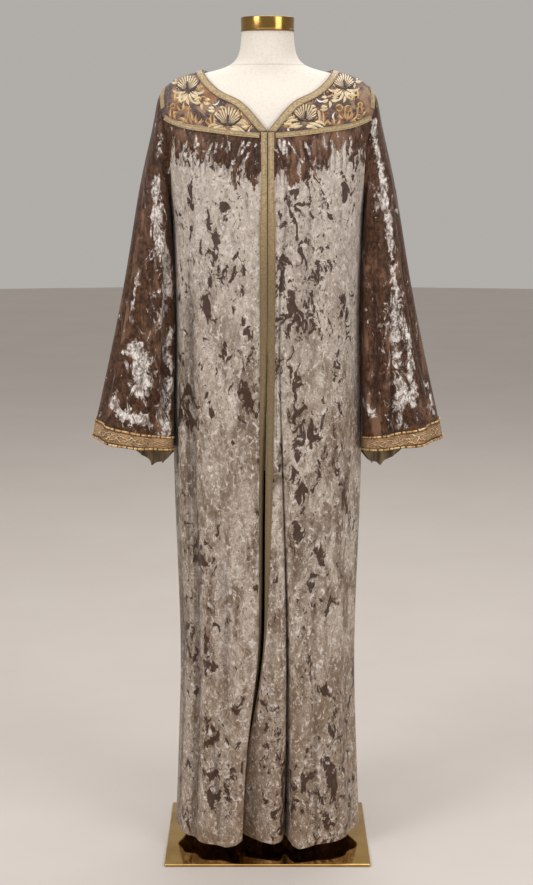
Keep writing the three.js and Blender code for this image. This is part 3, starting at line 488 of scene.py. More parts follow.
def crushed_pile_group():
    """Crushed velvet: pale pile with dark pressed spots, and dark pile with silvery patches of painted sheen;
    painted shade darkens its hollows.
    """
    inputs = [
        ("Place", VECTOR, None),
        ("Dark pile", FLOAT, 0.0),
        ("Ridge", FLOAT, 0.0),
        ("Silver", FLOAT, 0.0),
        ("Pressed", FLOAT, 0.0),
    ]
    outputs = [("Colour", COLOUR), ("Roughness", FLOAT), ("Height", FLOAT)]
    look, into, out = new_group("crushed_pile", inputs, outputs)
    where = into["Place"]
    fine = look.speckle(where, 0.6, 60, 6, 0.64, 0.7)
    clusters = look.speckle(where, 0.5, 13, 2, 0.5)
    crowd = look.weighed(clusters, 0.5, fine)
    crowd = look.weighed(into["Pressed"], 0.16, crowd)
    spots = look.step(crowd, 0.845, 0.877)
    dots = look.speckle(where, 0.7, 210, 3, 0.6)
    dot_crowd = look.weighed(clusters, 0.25, dots)
    dot = look.step(dot_crowd, 0.76, 0.785, 0.0, 0.8)
    spots = look.math("MAXIMUM", spots, dot)
    smoky = look.speckle(where, 0.42, 30, 6, 0.66, 0.7)
    cloud = look.speckle(where, 0.4, 7, 3, 0.5)
    mottle = look.speckle(where, 0.7, 170, 6, 0.75, 0.4)
    veins = look.apart(look.speckle(where, 0.75, 72, 5, 0.68, 1.1), 0.5)
    vein = look.times(look.step(veins, 0.0, 0.022, 1.0, 0.0), look.step(smoky, 0.44, 0.56))
    hair = look.speckle(where, 0.35, 900, 3, 0.7)

    crush = look.speckle(where, 0.7, 125, 6, 0.74, 0.8)
    pale = look.mix(look.step(smoky, 0.36, 0.62), srgb(116, 97, 80), srgb(188, 173, 158))
    pale = look.mix(look.step(cloud, 0.4, 0.62, 0.0, 0.5), pale, srgb(140, 122, 104))
    # Paler towards the top and darker, browner towards the foot.
    height_over_floor = look.axis(where, 2)
    high = look.step(height_over_floor, 0.8, 1.25, 0.0, 0.6)
    pale = look.mix(high, pale, srgb(208, 197, 187))
    warm = look.step(height_over_floor, 0.75, 0.1, 0.0, 0.6)
    pale = look.mix(warm, pale, srgb(146, 122, 101))
    pale = look.mix(look.step(crush, 0.52, 0.64, 0.0, 0.55), pale, srgb(88, 70, 56))
    pale = look.mix(look.step(crush, 0.47, 0.37, 0.0, 0.85), pale, srgb(226, 217, 210))
    pale = look.mix(look.times(vein, 0.75), pale, srgb(230, 223, 217))
    pale = look.mix(look.times(spots, 0.93), pale, srgb(60, 36, 24))

    brown = look.mix(look.step(mottle, 0.38, 0.64), srgb(42, 23, 13), srgb(98, 64, 42))
    brown = look.mix(look.step(smoky, 0.5, 0.66, 0.0, 0.75), brown, srgb(140, 104, 80))
    # Silvery patches where the pile is crushed: the crushing is real, and its silver is painted sheen, placed by
    # the silver marks and streaky noise.
    streak = look.speckle(where, 0.6, 52, 6, 0.7, 1.2)
    lift = look.weighed(into["Silver"], 0.25, streak)
    # Painted highlight: the ridges of the cloth lean a little towards silver.
    lift = look.weighed(into["Ridge"], 0.012, lift)
    shine = look.step(lift, 0.6, 0.665)
    silver = look.mix(look.step(crush, 0.6, 0.4), srgb(126, 109, 98), srgb(247, 240, 234))
    silver = look.mix(look.step(mottle, 0.52, 0.62, 0.0, 0.6), silver, srgb(92, 72, 58))
    brown = look.mix(look.times(shine, 0.92), brown, silver)

    fringe = look.speckle(where, 0.42, 58, 6, 0.7, 0.5)
    ragged = look.weighed(fringe, 3.4, into["Dark pile"])
    dark = look.step(ragged, 2.14, 2.24)
    colour = look.mix(dark, pale, brown)
    # Painted shade: the pile is darkened in the cloth's hollows, and where the ridge mark carries the shade
    # between folds.
    hollow = look.step(into["Ridge"], -0.08, -0.7, 0.0, 0.6)
    colour = look.mix(hollow, colour, look.mix(0.75, colour, srgb(40, 28, 22)))
    colour = look.mix(0.16, colour, look.add("CombineColor", {0: hair, 1: hair, 2: hair})[0], "OVERLAY")
    look.link(colour, out["Colour"])
    flat = look.math("MAXIMUM", spots, look.times(dark, 0.6))
    look.link(look.step(flat, 0, 1, 0.58, 0.4), out["Roughness"])
    raised = look.minus(look.times(mottle, 0.8), look.times(spots, 0.35))
    raised = look.plus(raised, look.times(shine, 0.3))
    look.link(look.plus(raised, look.times(hair, 0.25)), out["Height"])
    return look.tree


def woven_group():
    """A plain weave: two sets of threads that go over and under each other."""
    inputs = [("Place", VECTOR, None), ("Threads", FLOAT, 900.0)]
    look, into, out = new_group("weave", inputs, [("Thread", FLOAT), ("Slub", FLOAT)])
    ways = []
    for axis in (0, 2):
        along = look.axis(into["Place"], axis)
        turns = look.times(look.times(along, into["Threads"]), math.pi)
        ways.append(look.math("SINE", turns))
    look.link(look.times(ways[0], ways[1]), out["Thread"])
    look.link(look.speckle(into["Place"], 1, 260, 3, 0.6), out["Slub"])
    return look.tree


crushed_pile = crushed_pile_group()
weave = woven_group()


def velvet(name):
    look = Look(name, Sheen_Weight=0.08, Sheen_Roughness=0.35, Specular_IOR_Level=0.25)
    marks = {"Dark pile": "dark_pile", "Ridge": "ridge", "Silver": "silver", "Pressed": "pressed"}
    inputs = {socket: look.mark(name) for socket, name in marks.items()}
    pile = look.group(crushed_pile, {"Place": look.place(), **inputs})
    return look.done(pile["Colour"], pile["Height"], 0.0014, 0.8, rough=pile["Roughness"])


def ribbon_weave(name, light, deep):
    """Ribbed ribbon with a stitched line inside each edge, and painted shade lower down."""
    look = Look(name, Roughness=0.5, Sheen_Weight=0.15)
    threads = look.group(weave, {"Place": look.place(), "Threads": 900.0})
    edge = look.mark("edge")
    colour = look.mix(look.step(threads["Slub"], 0.35, 0.65), deep, light)
    colour = look.mix(look.step(threads["Thread"], -1, 1, 0.0, 0.25), colour, srgb(112, 92, 58))
    away = look.apart(edge, 0.0019)
    stitch = look.step(away, 0.0003, 0.0008, 1.0, 0.0)
    colour = look.mix(look.times(stitch, 0.45), colour, srgb(108, 88, 56))
    rim = look.times(look.step(edge, 0.0003, 0.0012, 0.9, 0.0), look.mark("piping"))
    colour = look.mix(rim, colour, srgb(66, 50, 34))
    # Painted shade: the ribbon darkens below 1.3 m, most down the placket where it sinks into a fold.
    low = look.step(look.axis(look.place(), 2), 1.3, 1.05, 0.0, 0.75)
    colour = look.mix(low, colour, srgb(100, 80, 50))
    height = look.minus(look.times(threads["Thread"], 0.3), stitch)
    return look.done(colour, height, 0.0004, 0.8)


def brocade_weave():
    """Cuff brocade: leafy waves in pale gold thread with dark outlines, drawn round the cuff."""
    look = Look("cuff_brocade", Roughness=0.45, Metallic=0.15)
    around, up = look.mark("around"), look.mark("up")
    where = look.place()
    wander = look.times(look.minus(look.speckle(where, 1, 60, 2, 0.5), 0.5), 0.7)
    height = look.plus(look.minus(up, 0.5), wander)
    turns = look.times(around, 2 * math.pi / 0.036)
    ways = []
    for late, tall in ((0.0, 0.17), (2.2, 0.15), (4.1, 0.19)):
        wave = look.times(look.math("SINE", look.plus(turns, late)), tall)
        ways.append(look.apart(height, wave))
    near = look.math("MINIMUM", look.math("MINIMUM", ways[0], ways[1]), ways[2])
    vein = look.step(near, 0.01, 0.03, 1.0, 0.0)
    shade = look.step(near, 0.03, 0.09, 1.0, 0.0)
    slub = look.speckle(where, 1, 420, 3, 0.7)
    tone = look.speckle(where, 1, 46, 3, 0.6)
    ground = look.mix(look.step(tone, 0.36, 0.62), srgb(104, 66, 42), srgb(172, 130, 92))
    ground = look.mix(look.step(slub, 0.4, 0.6, 0.0, 0.5), ground, srgb(206, 172, 128))
    colour = look.mix(look.times(shade, 0.75), ground, srgb(84, 52, 32))
    colour = look.mix(vein, colour, srgb(228, 198, 152))
    rim = look.step(look.apart(up, 0.5), 0.26, 0.33)
    colour = look.mix(look.times(rim, 0.85), colour, srgb(64, 38, 22))
    return look.done(colour, look.plus(look.plus(vein, shade), slub), 0.0008, 0.8)


def satin_cloth():
    look = Look("khaki_satin", Sheen_Weight=0.1)
    where = look.place()
    threads = look.group(weave, {"Place": where, "Threads": 1400.0})
    drift = look.speckle(where, 0.5, 40, 4, 0.6)
    colour = look.mix(look.step(drift, 0.35, 0.65), srgb(98, 80, 54), srgb(146, 124, 88))
    return look.done(colour, threads["Thread"], 0.0002, 0.4, rough=look.step(drift, 0.3, 0.7, 0.34, 0.5))


def yoke_ground():
    """The yoke's dark plum cloth with worn taupe and rust patches between its embroidery."""
    look = Look("yoke_ground", Sheen_Weight=0.2, Roughness=0.75)
    where = look.place()
    patch = look.speckle(where, 1, 24, 5, 0.62, 0.8)
    feather = look.speckle(where, 0.6, 130, 5, 0.7, 1.2)
    colour = look.mix(look.step(feather, 0.4, 0.6), srgb(58, 42, 38), srgb(104, 82, 76))
    colour = look.mix(look.step(patch, 0.46, 0.58, 0.0, 0.85), colour, srgb(172, 138, 108))
    rust = look.speckle(where, 1, 36, 3, 0.6, 0.5)
    colour = look.mix(look.step(rust, 0.56, 0.66, 0.0, 0.75), colour, srgb(158, 104, 62))
    threads = look.group(weave, {"Place": where, "Threads": 700.0})
    colour = look.mix(look.step(threads["Thread"], -1, 1, 0.0, 0.2), colour, srgb(40, 28, 26))
    return look.done(colour, look.plus(threads["Thread"], feather), 0.0005, 0.6)


def thread(name, light, deep, **constants):
    """Embroidery thread: satin stitches that lie side by side."""
    look = Look(name, Roughness=0.42, Sheen_Weight=0.1, **constants)
    where = look.place()
    stitches = look.speckle(where, 1, 700, 2, 0.5)
    tone = look.speckle(where, 1, 90, 2, 0.5)
    colour = look.mix(look.step(tone, 0.35, 0.65), deep, light)
    colour = look.mix(look.step(stitches, 0.3, 0.7, 0.35, 0.0), colour, deep)
    return look.done(colour, stitches, 0.0004, 0.8)


def jersey_cloth():
    """The form's cream jersey with its neck seam."""
    look = Look("cream_jersey", Roughness=0.85, Sheen_Weight=0.2)
    where = look.place()
    knit = look.group(weave, {"Place": where, "Threads": 1100.0})
    colour = look.mix(look.step(knit["Slub"], 0.3, 0.7), srgb(226, 216, 203), srgb(234, 227, 216))
    up = look.axis(where, 2)
    seam = look.step(look.apart(up, NECK_SEAM), 0.0004, 0.0014, 1.0, 0.0)
    colour = look.mix(look.times(seam, 0.35), colour, srgb(196, 182, 164))
    return look.done(colour, look.minus(look.times(knit["Thread"], 0.05), seam), 0.0008, 0.7)


def polished_brass(name, rough, deep, light):
    """Polished brass with faint wiping marks and a little dullness."""
    look = Look(name, Metallic=1.0)
    where = look.place()
    haze = look.speckle(where, 1, 14, 4, 0.6, 0.4)
    wiped = look.speckle(where, (1, 14, 14), 60, 3, 0.6)
    colour = look.mix(look.step(haze, 0.35, 0.65), deep, light)
    rough = look.plus(look.step(haze, 0.3, 0.7, rough, rough * 1.8), look.times(wiped, 0.03))
    return look.done(colour, wiped, 0.00002, 0.3, rough=rough)


gown_velvet = velvet("crushed_velvet")
gold_ribbon = ribbon_weave("olive_gold_ribbon", srgb(196, 172, 130), srgb(156, 132, 92))
cuff_brocade = brocade_weave()
khaki_satin = satin_cloth()
yoke_cloth = yoke_ground()
cream_jersey = jersey_cloth()
gold_beads = thread("gold_beads", srgb(240, 208, 150), srgb(184, 144, 86), Metallic=0.55)
plate_brass = polished_brass("plate_brass", 0.05, srgb(188, 148, 84), srgb(206, 168, 102))
cap_brass = polished_brass("cap_brass", 0.12, srgb(146, 112, 58), srgb(164, 130, 74))


# ---------------------------------------------------------------- the stand and the form
def base_plate():
    piece = primitive(bpy.ops.mesh.primitive_cube_add, "brass_plate", size=1, location=(0, 0, PLATE[2] / 2))
    piece.scale = PLATE
    bpy.ops.object.transform_apply(location=True, rotation=False, scale=True)
    bpy.ops.object.mode_set(mode="EDIT")
    bpy.ops.mesh.select_all(action="DESELECT")
    bpy.ops.object.mode_set(mode="OBJECT")
    for edge in piece.data.edges:
        a, b = (piece.data.vertices[v].co for v in edge.vertices)
        edge.select = abs(a.z - b.z) > PLATE[2] / 5
    bpy.ops.object.mode_set(mode="EDIT")
    bpy.ops.mesh.bevel(offset=0.003, segments=6)
    bpy.ops.object.mode_set(mode="OBJECT")
    finish_with(piece, "BEVEL", width=0.0006, segments=3, limit_method="ANGLE")
    smooth_by(piece, 30)
    dress(piece, plate_brass, "brass", "base_plate")


def turned_rod(node, name, radius, sides):
    """A round rod as tall as its node, and the height of its foot."""
    low, high = (corner[2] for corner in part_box(node))
    middle = (0, 0, (low + high) / 2)
    sizes = {"vertices": sides, "radius": radius, "depth": high - low}
    piece = primitive(bpy.ops.mesh.primitive_cylinder_add, name, location=middle, **sizes)
    bpy.ops.object.transform_apply(location=True, rotation=False, scale=False)
    return piece, low


def stand_pole():
    piece, _ = turned_rod("stand_pole", "brass_pole", POLE_RADIUS, 64)
    finish_with(piece, "BEVEL", width=0.0006, segments=2, limit_method="ANGLE")
    smooth_by(piece, 30)
    dress(piece, plate_brass, "brass", "stand_pole")


def neck_cap():
    """A lathe-turned cap with a rounded top edge and a fine groove near its foot."""
    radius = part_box("neck_cap")[1][0]
    piece, foot = turned_rod("neck_cap", "brass_neck_cap", radius, 96)
    bpy.ops.object.mode_set(mode="EDIT")
    for above, depth in ((0.003, 0), (0.0038, 0.0006), (0.0046, 0)):
        centre, share = (0, 0, foot + above), (radius - depth) / radius
        bpy.ops.mesh.select_all(action="SELECT")
        bpy.ops.mesh.bisect(plane_co=centre, plane_no=(0, 0, 1))
        bpy.ops.transform.resize(value=(share, share, 1), center_override=centre)
    bpy.ops.object.mode_set(mode="OBJECT")
    finish_with(piece, "BEVEL", width=0.0016, segments=4, limit_method="ANGLE", angle_limit=math.radians(60))
    smooth_by(piece, 35)
    dress(piece, cap_brass, "brass", "neck_cap")


def dress_form():
    """The form's skin as one smooth closed shape."""
    piece, bm = merged_copy("dress_form", "jersey_form")
    ends = [
        f for f in bm.faces
        if abs(f.normal.z) > 0.9999 and all(v.co.z < FORM_FOOT or v.co.z > FORM_TOP for v in f.verts)
    ]
    bmesh.ops.delete(bm, geom=ends, context="FACES")
    bmesh.ops.delete(bm, geom=[v for v in bm.verts if not v.link_faces], context="VERTS")
    whole_quads(bm)
    bm.to_mesh(piece.data)
    bm.free()
    made_fine(piece)
    only(piece)
    bpy.ops.object.mode_set(mode="EDIT")
    bpy.ops.mesh.select_all(action="SELECT")
    bpy.ops.mesh.fill_holes(sides=0)
    bpy.ops.mesh.normals_make_consistent(inside=False)
    bpy.ops.object.mode_set(mode="OBJECT")
    smooth_by(piece, 50)
    dress(piece, cream_jersey, "jersey", "dress_form")


# ---------------------------------------------------------------- the gown's velvet
# Every table of lines on the cloth goes by the view that they are seen from. A line's points are how far
# across and how high, in mm. Side 1 is the wearer's left, -1 the right and 0 the back.
# Creases and folds pressed into the cloth: their line, their width and rise in mm, and which way they lean.
BODY_CREASES = {
    -1: {
        "front": [
            ([(-168, 1327), (-152, 1319), (-135, 1315), (-120, 1317), (-108, 1322)], 4, -2.6, 0.6),
            ([(-166, 1318), (-140, 1306), (-112, 1311)], 9, 2.0, 0),
            ([(-96, 1334), (-104, 1316), (-112, 1300)], 5, 1.6, 0),
            ([(-60, 1333), (-76, 1310), (-88, 1292)], 6, 2.0, 0),
            ([(-34, 1331), (-46, 1306), (-58, 1284)], 5, 2.4, 0.5),
            ([(-22, 1325), (-31, 1304), (-40, 1286)], 4, 2.6, -0.5),
            ([(-18, 1304), (-26, 1288), (-31, 1270)], 4, 2.2, 0),
            ([(-128, 1300), (-122, 1190), (-126, 1060)], 9, 1.8, 0.8),
            ([(-76, 1262), (-82, 1130), (-80, 940)], 10, 2.0, 0),
            ([(-48, 1180), (-52, 960), (-50, 700), (-46, 420)], 9, -2.0, 0.6),
            ([(-96, 900), (-100, 640), (-94, 330)], 8, 1.8, 0),
            ([(-66, 620), (-60, 340), (-52, 90)], 9, 2.4, 0),
            ([(-104, 300), (-98, 160), (-92, 60)], 9, -2.4, 0),
            ([(-150, 1000), (-146, 700), (-150, 380)], 7, -2.4, 0.8),
        ],
    },
    1: {
        "front": [
            ([(168, 1328), (150, 1321), (132, 1318), (114, 1322)], 4, -2.4, 0.6),
            ([(160, 1316), (138, 1308), (116, 1312)], 9, 1.8, 0),
            ([(92, 1336), (98, 1318), (104, 1302)], 5, 1.8, 0),
            ([(62, 1334), (72, 1312), (80, 1296)], 5, 2.2, 0),
            ([(36, 1332), (44, 1308), (52, 1288)], 5, 2.6, 0.5),
            ([(22, 1326), (29, 1306), (34, 1290)], 4, 2.4, -0.5),
            ([(118, 1296), (124, 1180), (120, 1020)], 10, 2.0, 0.6),
            ([(78, 1250), (70, 1100), (74, 930)], 9, -1.8, 0),
            ([(52, 1120), (48, 880), (52, 640)], 8, 1.8, 0),
            ([(98, 860), (104, 600), (98, 340)], 9, 2.0, 0),
            ([(120, 560), (124, 300), (118, 70)], 8, -2.2, 0.6),
            ([(82, 380), (78, 200), (84, 60)], 9, 2.4, 0),
            ([(142, 980), (146, 720), (140, 420)], 8, -2.2, 0.8),
        ],
    },
    0: {
        "back": [
            ([(-150, 1326), (-120, 1312), (-86, 1318)], 5, -2.4, 0.6),
            ([(94, 1320), (126, 1311), (156, 1326)], 5, -2.2, 0.6),
            ([(-64, 1334), (-70, 1300), (-66, 1262)], 6, 2.4, 0),
            ([(-30, 1334), (-36, 1296), (-32, 1250)], 6, -2.2, 0),
            ([(34, 1334), (30, 1300), (38, 1256)], 6, 2.6, 0),
            ([(74, 1332), (80, 1294), (76, 1240)], 6, 2.2, 0),
            ([(-110, 1180), (-118, 900), (-108, 620)], 9, 2.2, 0.6),
            ([(-44, 1100), (-36, 800), (-46, 480)], 10, 2.2, 0),
            ([(6, 900), (14, 560), (2, 240)], 9, -2.6, 0.6),
            ([(60, 1080), (66, 760), (60, 420)], 10, 2.2, 0),
            ([(118, 980), (112, 640), (122, 300)], 9, -2.4, 0.6),
            ([(-84, 420), (-90, 230), (-80, 60)], 10, 2.8, 0),
            ([(40, 360), (48, 190), (36, 60)], 10, 2.8, 0),
            ([(104, 300), (98, 160), (108, 60)], 9, -2.6, 0),
        ],
        "left": [
            ([(60, 1120), (54, 820), (62, 500)], 9, 2.0, 0),
        ],
        "right": [
            ([(58, 1080), (64, 760), (56, 460)], 9, 2.0, 0),
        ],
    },
}
# Fine gathers under the yoke: how far across they start and end, their length and rise, in mm.
GATHERS = [
    (20, 27, 62, 1.6), (31, 40, 48, 1.3), (43, 52, 70, 1.7), (56, 63, 40, 1.2), (67, 74, 64, 1.5),
    (79, 84, 38, 1.3), (89, 93, 60, 1.6), (101, 104, 44, 1.3), (112, 114, 66, 1.5), (124, 124, 46, 1.2),
    (136, 134, 60, 1.5), (148, 146, 42, 1.2), (159, 156, 54, 1.3),
]


GATHER_TOP, GATHER_WIDTH = 1335, 2.6


def gathers(side):
    """The small pleats that the yoke's seam gathers one half of a panel into."""
    rows = []
    for a, b, deep, rise in GATHERS:
        top, foot = GATHER_TOP + 0.0006 * a * a, GATHER_TOP - deep
        line = [(side * a, top), (side * (a + b) / 2, GATHER_TOP - deep / 2), (side * b, foot)]
        rows.append((line, GATHER_WIDTH, rise, 0))
    return rows


# Silvery streaks of painted sheen where the dark pile is crushed, and clusters of dark pressed spots on the
# fronts (seen from the front) and on the back: their line, their width in mm and their strength.
CHEST_SILVER = {
    "front": [
        ([(-33, 1329), (-46, 1314), (-60, 1298)], 3.4, 0.8),
        ([(-20, 1328), (-34, 1310), (-52, 1282)], 3.2, 0.75), ([(-66, 1331), (-78, 1312)], 2.0, 0.45),
        ([(-97, 1328), (-103, 1313)], 2.2, 0.5), ([(-114, 1334), (-125, 1325), (-138, 1312)], 2.0, 0.7),
        ([(-156, 1359), (-156, 1330)], 2.6, 0.7), ([(-146, 1354), (-147, 1322)], 2.2, 0.75),
        ([(-136, 1349), (-138, 1320)], 1.8, 0.5), ([(-90, 1314), (-96, 1298)], 2.2, 0.4),
        ([(18, 1333), (25, 1321), (34, 1305)], 3.0, 0.75),
        ([(38, 1330), (46, 1318), (60, 1298)], 2.6, 0.8),
        ([(16, 1318), (20, 1308), (26, 1292)], 2.4, 0.5), ([(69, 1318), (78, 1300)], 2.0, 0.35),
        ([(97, 1337), (103, 1318)], 2.4, 0.6), ([(135, 1359), (137, 1328)], 2.4, 0.7),
        ([(147, 1363), (149, 1330)], 2.4, 0.75), ([(157, 1363), (159, 1322)], 2.2, 0.7),
        ([(123, 1349), (126, 1326)], 1.8, 0.5),
    ],
    "back": [
        ([(-44, 1330), (-52, 1308)], 3.0, 1.0), ([(-12, 1330), (-8, 1304)], 2.6, 0.8),
        ([(28, 1330), (34, 1306)], 3.0, 0.9), ([(66, 1330), (74, 1310)], 2.8, 1.0),
        ([(-88, 1330), (-94, 1310)], 2.6, 0.8), ([(112, 1334), (116, 1310)], 2.6, 0.9),
        ([(-126, 1336), (-130, 1312)], 2.6, 0.9), ([(146, 1340), (148, 1316)], 2.4, 0.8),
    ],
}
PRESSED = {
    -1: [
        ([(-136, 1258), (-136, 1223)], 9, 1.0), ([(-106, 1211), (-92, 1225), (-78, 1221)], 7, 0.9),
        ([(-103, 1207), (-103, 1183)], 7, 0.9), ([(-143, 1183), (-136, 1162)], 7, 0.8),
        ([(-94, 1169), (-91, 1152)], 6, 0.8), ([(-63, 1123), (-56, 1101)], 8, 0.7),
        ([(-111, 1056), (-102, 1028)], 9, 0.8), ([(-42, 1024), (-38, 994)], 7, 0.8),
        ([(-81, 976), (-74, 949)], 8, 0.7), ([(-39, 904), (-35, 859)], 7, 0.8),
        ([(-107, 881), (-100, 855)], 7, 0.7), ([(-60, 801), (-53, 786)], 6, 0.9),
        ([(-46, 740), (-39, 727)], 5, 0.8), ([(-46, 642), (-32, 627)], 5, 0.9),
        ([(-50, 601), (-36, 590)], 6, 0.9), ([(-61, 507), (-54, 484)], 6, 0.8),
        ([(-58, 439), (-51, 427)], 5, 0.9), ([(-108, 370), (-97, 373)], 6, 0.9),
        ([(-58, 292), (-44, 316)], 9, 0.9), ([(-114, 273), (-101, 234)], 8, 0.9),
        ([(-114, 222), (-92, 234)], 6, 0.9), ([(-107, 167), (-96, 163)], 7, 0.9),
        ([(-111, 128), (-97, 84)], 6, 0.8), ([(-48, 96), (-33, 76)], 8, 0.7),
    ],
    1: [
        ([(22, 1207), (25, 1185)], 7, 1.0), ([(43, 1246), (53, 1249)], 5, 0.9),
        ([(60, 1225), (67, 1235)], 5, 0.9), ([(135, 1256), (144, 1249)], 6, 0.9),
        ([(52, 1162), (57, 1141)], 6, 0.7), ([(110, 1123), (121, 1099)], 8, 0.8),
        ([(40, 1074), (47, 1039)], 9, 0.8), ([(90, 1003), (100, 978)], 8, 0.7),
        ([(137, 1056), (143, 1024)], 7, 0.8), ([(44, 928), (51, 892)], 9, 0.8),
        ([(97, 877), (108, 855)], 8, 0.7), ([(48, 790), (53, 775)], 5, 0.9),
        ([(44, 731), (51, 749)], 5, 1.0), ([(59, 720), (62, 687)], 7, 1.0),
        ([(55, 650), (59, 612)], 9, 1.2), ([(44, 601), (59, 590)], 5, 0.8),
        ([(92, 590), (107, 560)], 9, 1.2), ([(121, 579), (128, 560)], 6, 1.0),
        ([(99, 537), (125, 541)], 5, 0.9), ([(111, 496), (107, 465)], 6, 1.1),
        ([(56, 446), (71, 419)], 7, 0.8), ([(101, 335), (108, 312)], 6, 0.9),
        ([(86, 238), (113, 214)], 7, 0.9), ([(57, 179), (68, 140)], 9, 1.1),
        ([(57, 120), (65, 96)], 6, 0.8),
    ],
    0: [
        ([(-120, 1210), (-114, 1176)], 9, 1.0), ([(-64, 1228), (-58, 1190)], 8, 0.9),
        ([(30, 1216), (38, 1186)], 8, 1.0), ([(104, 1190), (98, 1150)], 9, 0.9),
        ([(-92, 1040), (-84, 1000)], 9, 0.9), ([(58, 1010), (66, 962)], 9, 1.0),
        ([(-30, 900), (-22, 862)], 8, 0.8), ([(120, 860), (112, 820)], 9, 0.9),
        ([(-118, 740), (-108, 700)], 9, 1.0), ([(26, 690), (36, 640)], 9, 1.1),
        ([(-60, 560), (-50, 520)], 8, 0.9), ([(92, 520), (104, 480)], 9, 1.0),
        ([(-104, 360), (-96, 320)], 9, 1.0), ([(10, 330), (20, 280)], 8, 0.9),
        ([(72, 240), (84, 200)], 9, 1.0), ([(-46, 180), (-36, 140)], 8, 0.9),
    ],
}

# Where a front falls back between two folds and its pile is in shade: from and to across, top and foot (in
# metres) and strength.
SHADED = {-1: ((-0.2, -0.122), (1.2, -0.1), 0.42), 1: ((-0.07, 0.026), (0.72, -0.1), 0.4)}
# How much higher than level the hem hangs at places across, in mm.
HEM_LIFT = {
    -1: ((-175, -150, -110, -80, -60, -44), (6, 1, 0, -3, 3, 14)),
    1: ((-56, -40, -10, 10, 30, 60, 100, 140, 175), (11, 6, 1, 0, 4, -3, 0, 2, 6)),
    0: ((-175, -120, -60, 0, 60, 120, 175), (6, -2, 3, -3, 2, -2, 6)),
}


def dark_near_yoke(piece):
    """The pile lies the dark way in a ragged band under the yoke, shorter by the armholes."""
    spots = places(piece)
    foot = DARK_FOOT + DARK_RISE * smoothed((np.abs(spots[:, 0]) - 0.08) / 0.05)
    return np.clip((spots[:, 2] - foot) / 0.06 + 0.5, -2, 3)


def shade(piece, side):
    """How much of a panel's pile is in the shade between two folds."""
    if side not in SHADED:
        return 0.0
    across, _, height = places(piece).T
    (start, end), (top, foot), strength = SHADED[side]
    inside = ramp(across, start, 0.006) * ramp(across, end, -0.006)
    return strength * inside * ramp(height, top, -0.15) * ramp(height, foot, 0.05)


def body_panel(node, side):
    piece = outer_cloth(node, "velvet_" + node, VELVET)
    made_fine(piece)
    spots = places(piece)
    by_seam = (np.abs(spots[:, 0]) > SEAM_FROM) * np.exp(-np.abs(spots[:, 1]) / SEAM_REACH)
    spots[:, 1] -= np.sign(spots[:, 1]) * SEAM_CLOSE * by_seam
    lift = 0.001 * np.interp(spots[:, 0] * 1000, *HEM_LIFT[side])
    spots[:, 2] += lift * np.exp(-(spots[:, 2] - HEM) / HEM_REACH)
    place(piece, spots)
    view, halves = ("front", (side,)) if side else ("back", (1, -1))
    creases = dict(BODY_CREASES[side])
    creases[view] = creases[view] + [row for half in halves for row in gathers(half)]
    pushed([piece], creases, crease)
    mark(piece, "dark_pile", dark_near_yoke(piece))
    mark(piece, "silver", painted(piece, CHEST_SILVER))
    mark(piece, "pressed", painted(piece, {view: PRESSED[side]}))
    # The ridge mark is the cloth's bends less the painted shade between folds; the velvet darkens its hollows and
    # lightens its ridges by it.
    mark(piece, "ridge", ridges(piece) * ramp(edge_distance(piece), 0, 0.004) - shade(piece, side))
    return piece


# ---------------------------------------------------------------- sleeves
SLEEVE_CREASES = {
    1: {
        "front": [
            ([(206, 1330), (244, 1080), (292, 830)], 10, 6.0, 0.6),
            ([(190, 1290), (206, 1060), (214, 820)], 8, 5.0, 0),
            ([(196, 1300), (226, 1090), (262, 850)], 9, -6.0, 0.8),
            ([(178, 1160), (182, 980), (186, 800)], 7, 5.0, 0),
            ([(186, 1210), (194, 1010), (198, 820)], 7, -5.0, 0.6),
            ([(212, 1290), (262, 1010), (306, 830)], 8, -5.0, 0.8),
            ([(200, 1180), (222, 1150), (246, 1140)], 8, 2.4, 0),
            ([(196, 960), (226, 930), (262, 940)], 9, 2.4, 0),
        ],
        "back": [
            ([(204, 1320), (240, 1060), (280, 830)], 10, 5.0, 0),
            ([(190, 1250), (206, 1020), (220, 790)], 10, -6.0, 0.6),
            ([(214, 1290), (262, 1040), (306, 830)], 9, -5.0, 0.6),
            ([(182, 1140), (188, 960), (196, 780)], 8, 5.0, 0),
        ],
    },
    -1: {
        "front": [
            ([(-204, 1330), (-240, 1090), (-286, 830)], 9, 5.5, 0.6),
            ([(-192, 1280), (-214, 1060), (-236, 820)], 9, -5.5, 0.8),
            ([(-186, 1230), (-198, 1020), (-206, 800)], 8, 5.5, 0),
            ([(-180, 1150), (-184, 980), (-186, 800)], 7, -4.5, 0.6),
            ([(-212, 1290), (-260, 1030), (-304, 830)], 8, -5.5, 0.8),
            ([(-196, 1140), (-222, 1120), (-246, 1130)], 8, 2.4, 0),
            ([(-194, 900), (-230, 880), (-268, 896)], 9, 2.4, 0),
        ],
        "back": [
            ([(-206, 1310), (-246, 1060), (-288, 830)], 9, 5.5, 0),
            ([(-192, 1250), (-212, 1020), (-230, 790)], 10, -6.0, 0.6),
            ([(-216, 1270), (-266, 1030), (-308, 830)], 9, -4.5, 0.6),
            ([(-184, 1130), (-190, 960), (-200, 780)], 8, 4.5, 0),
        ],
    },
}


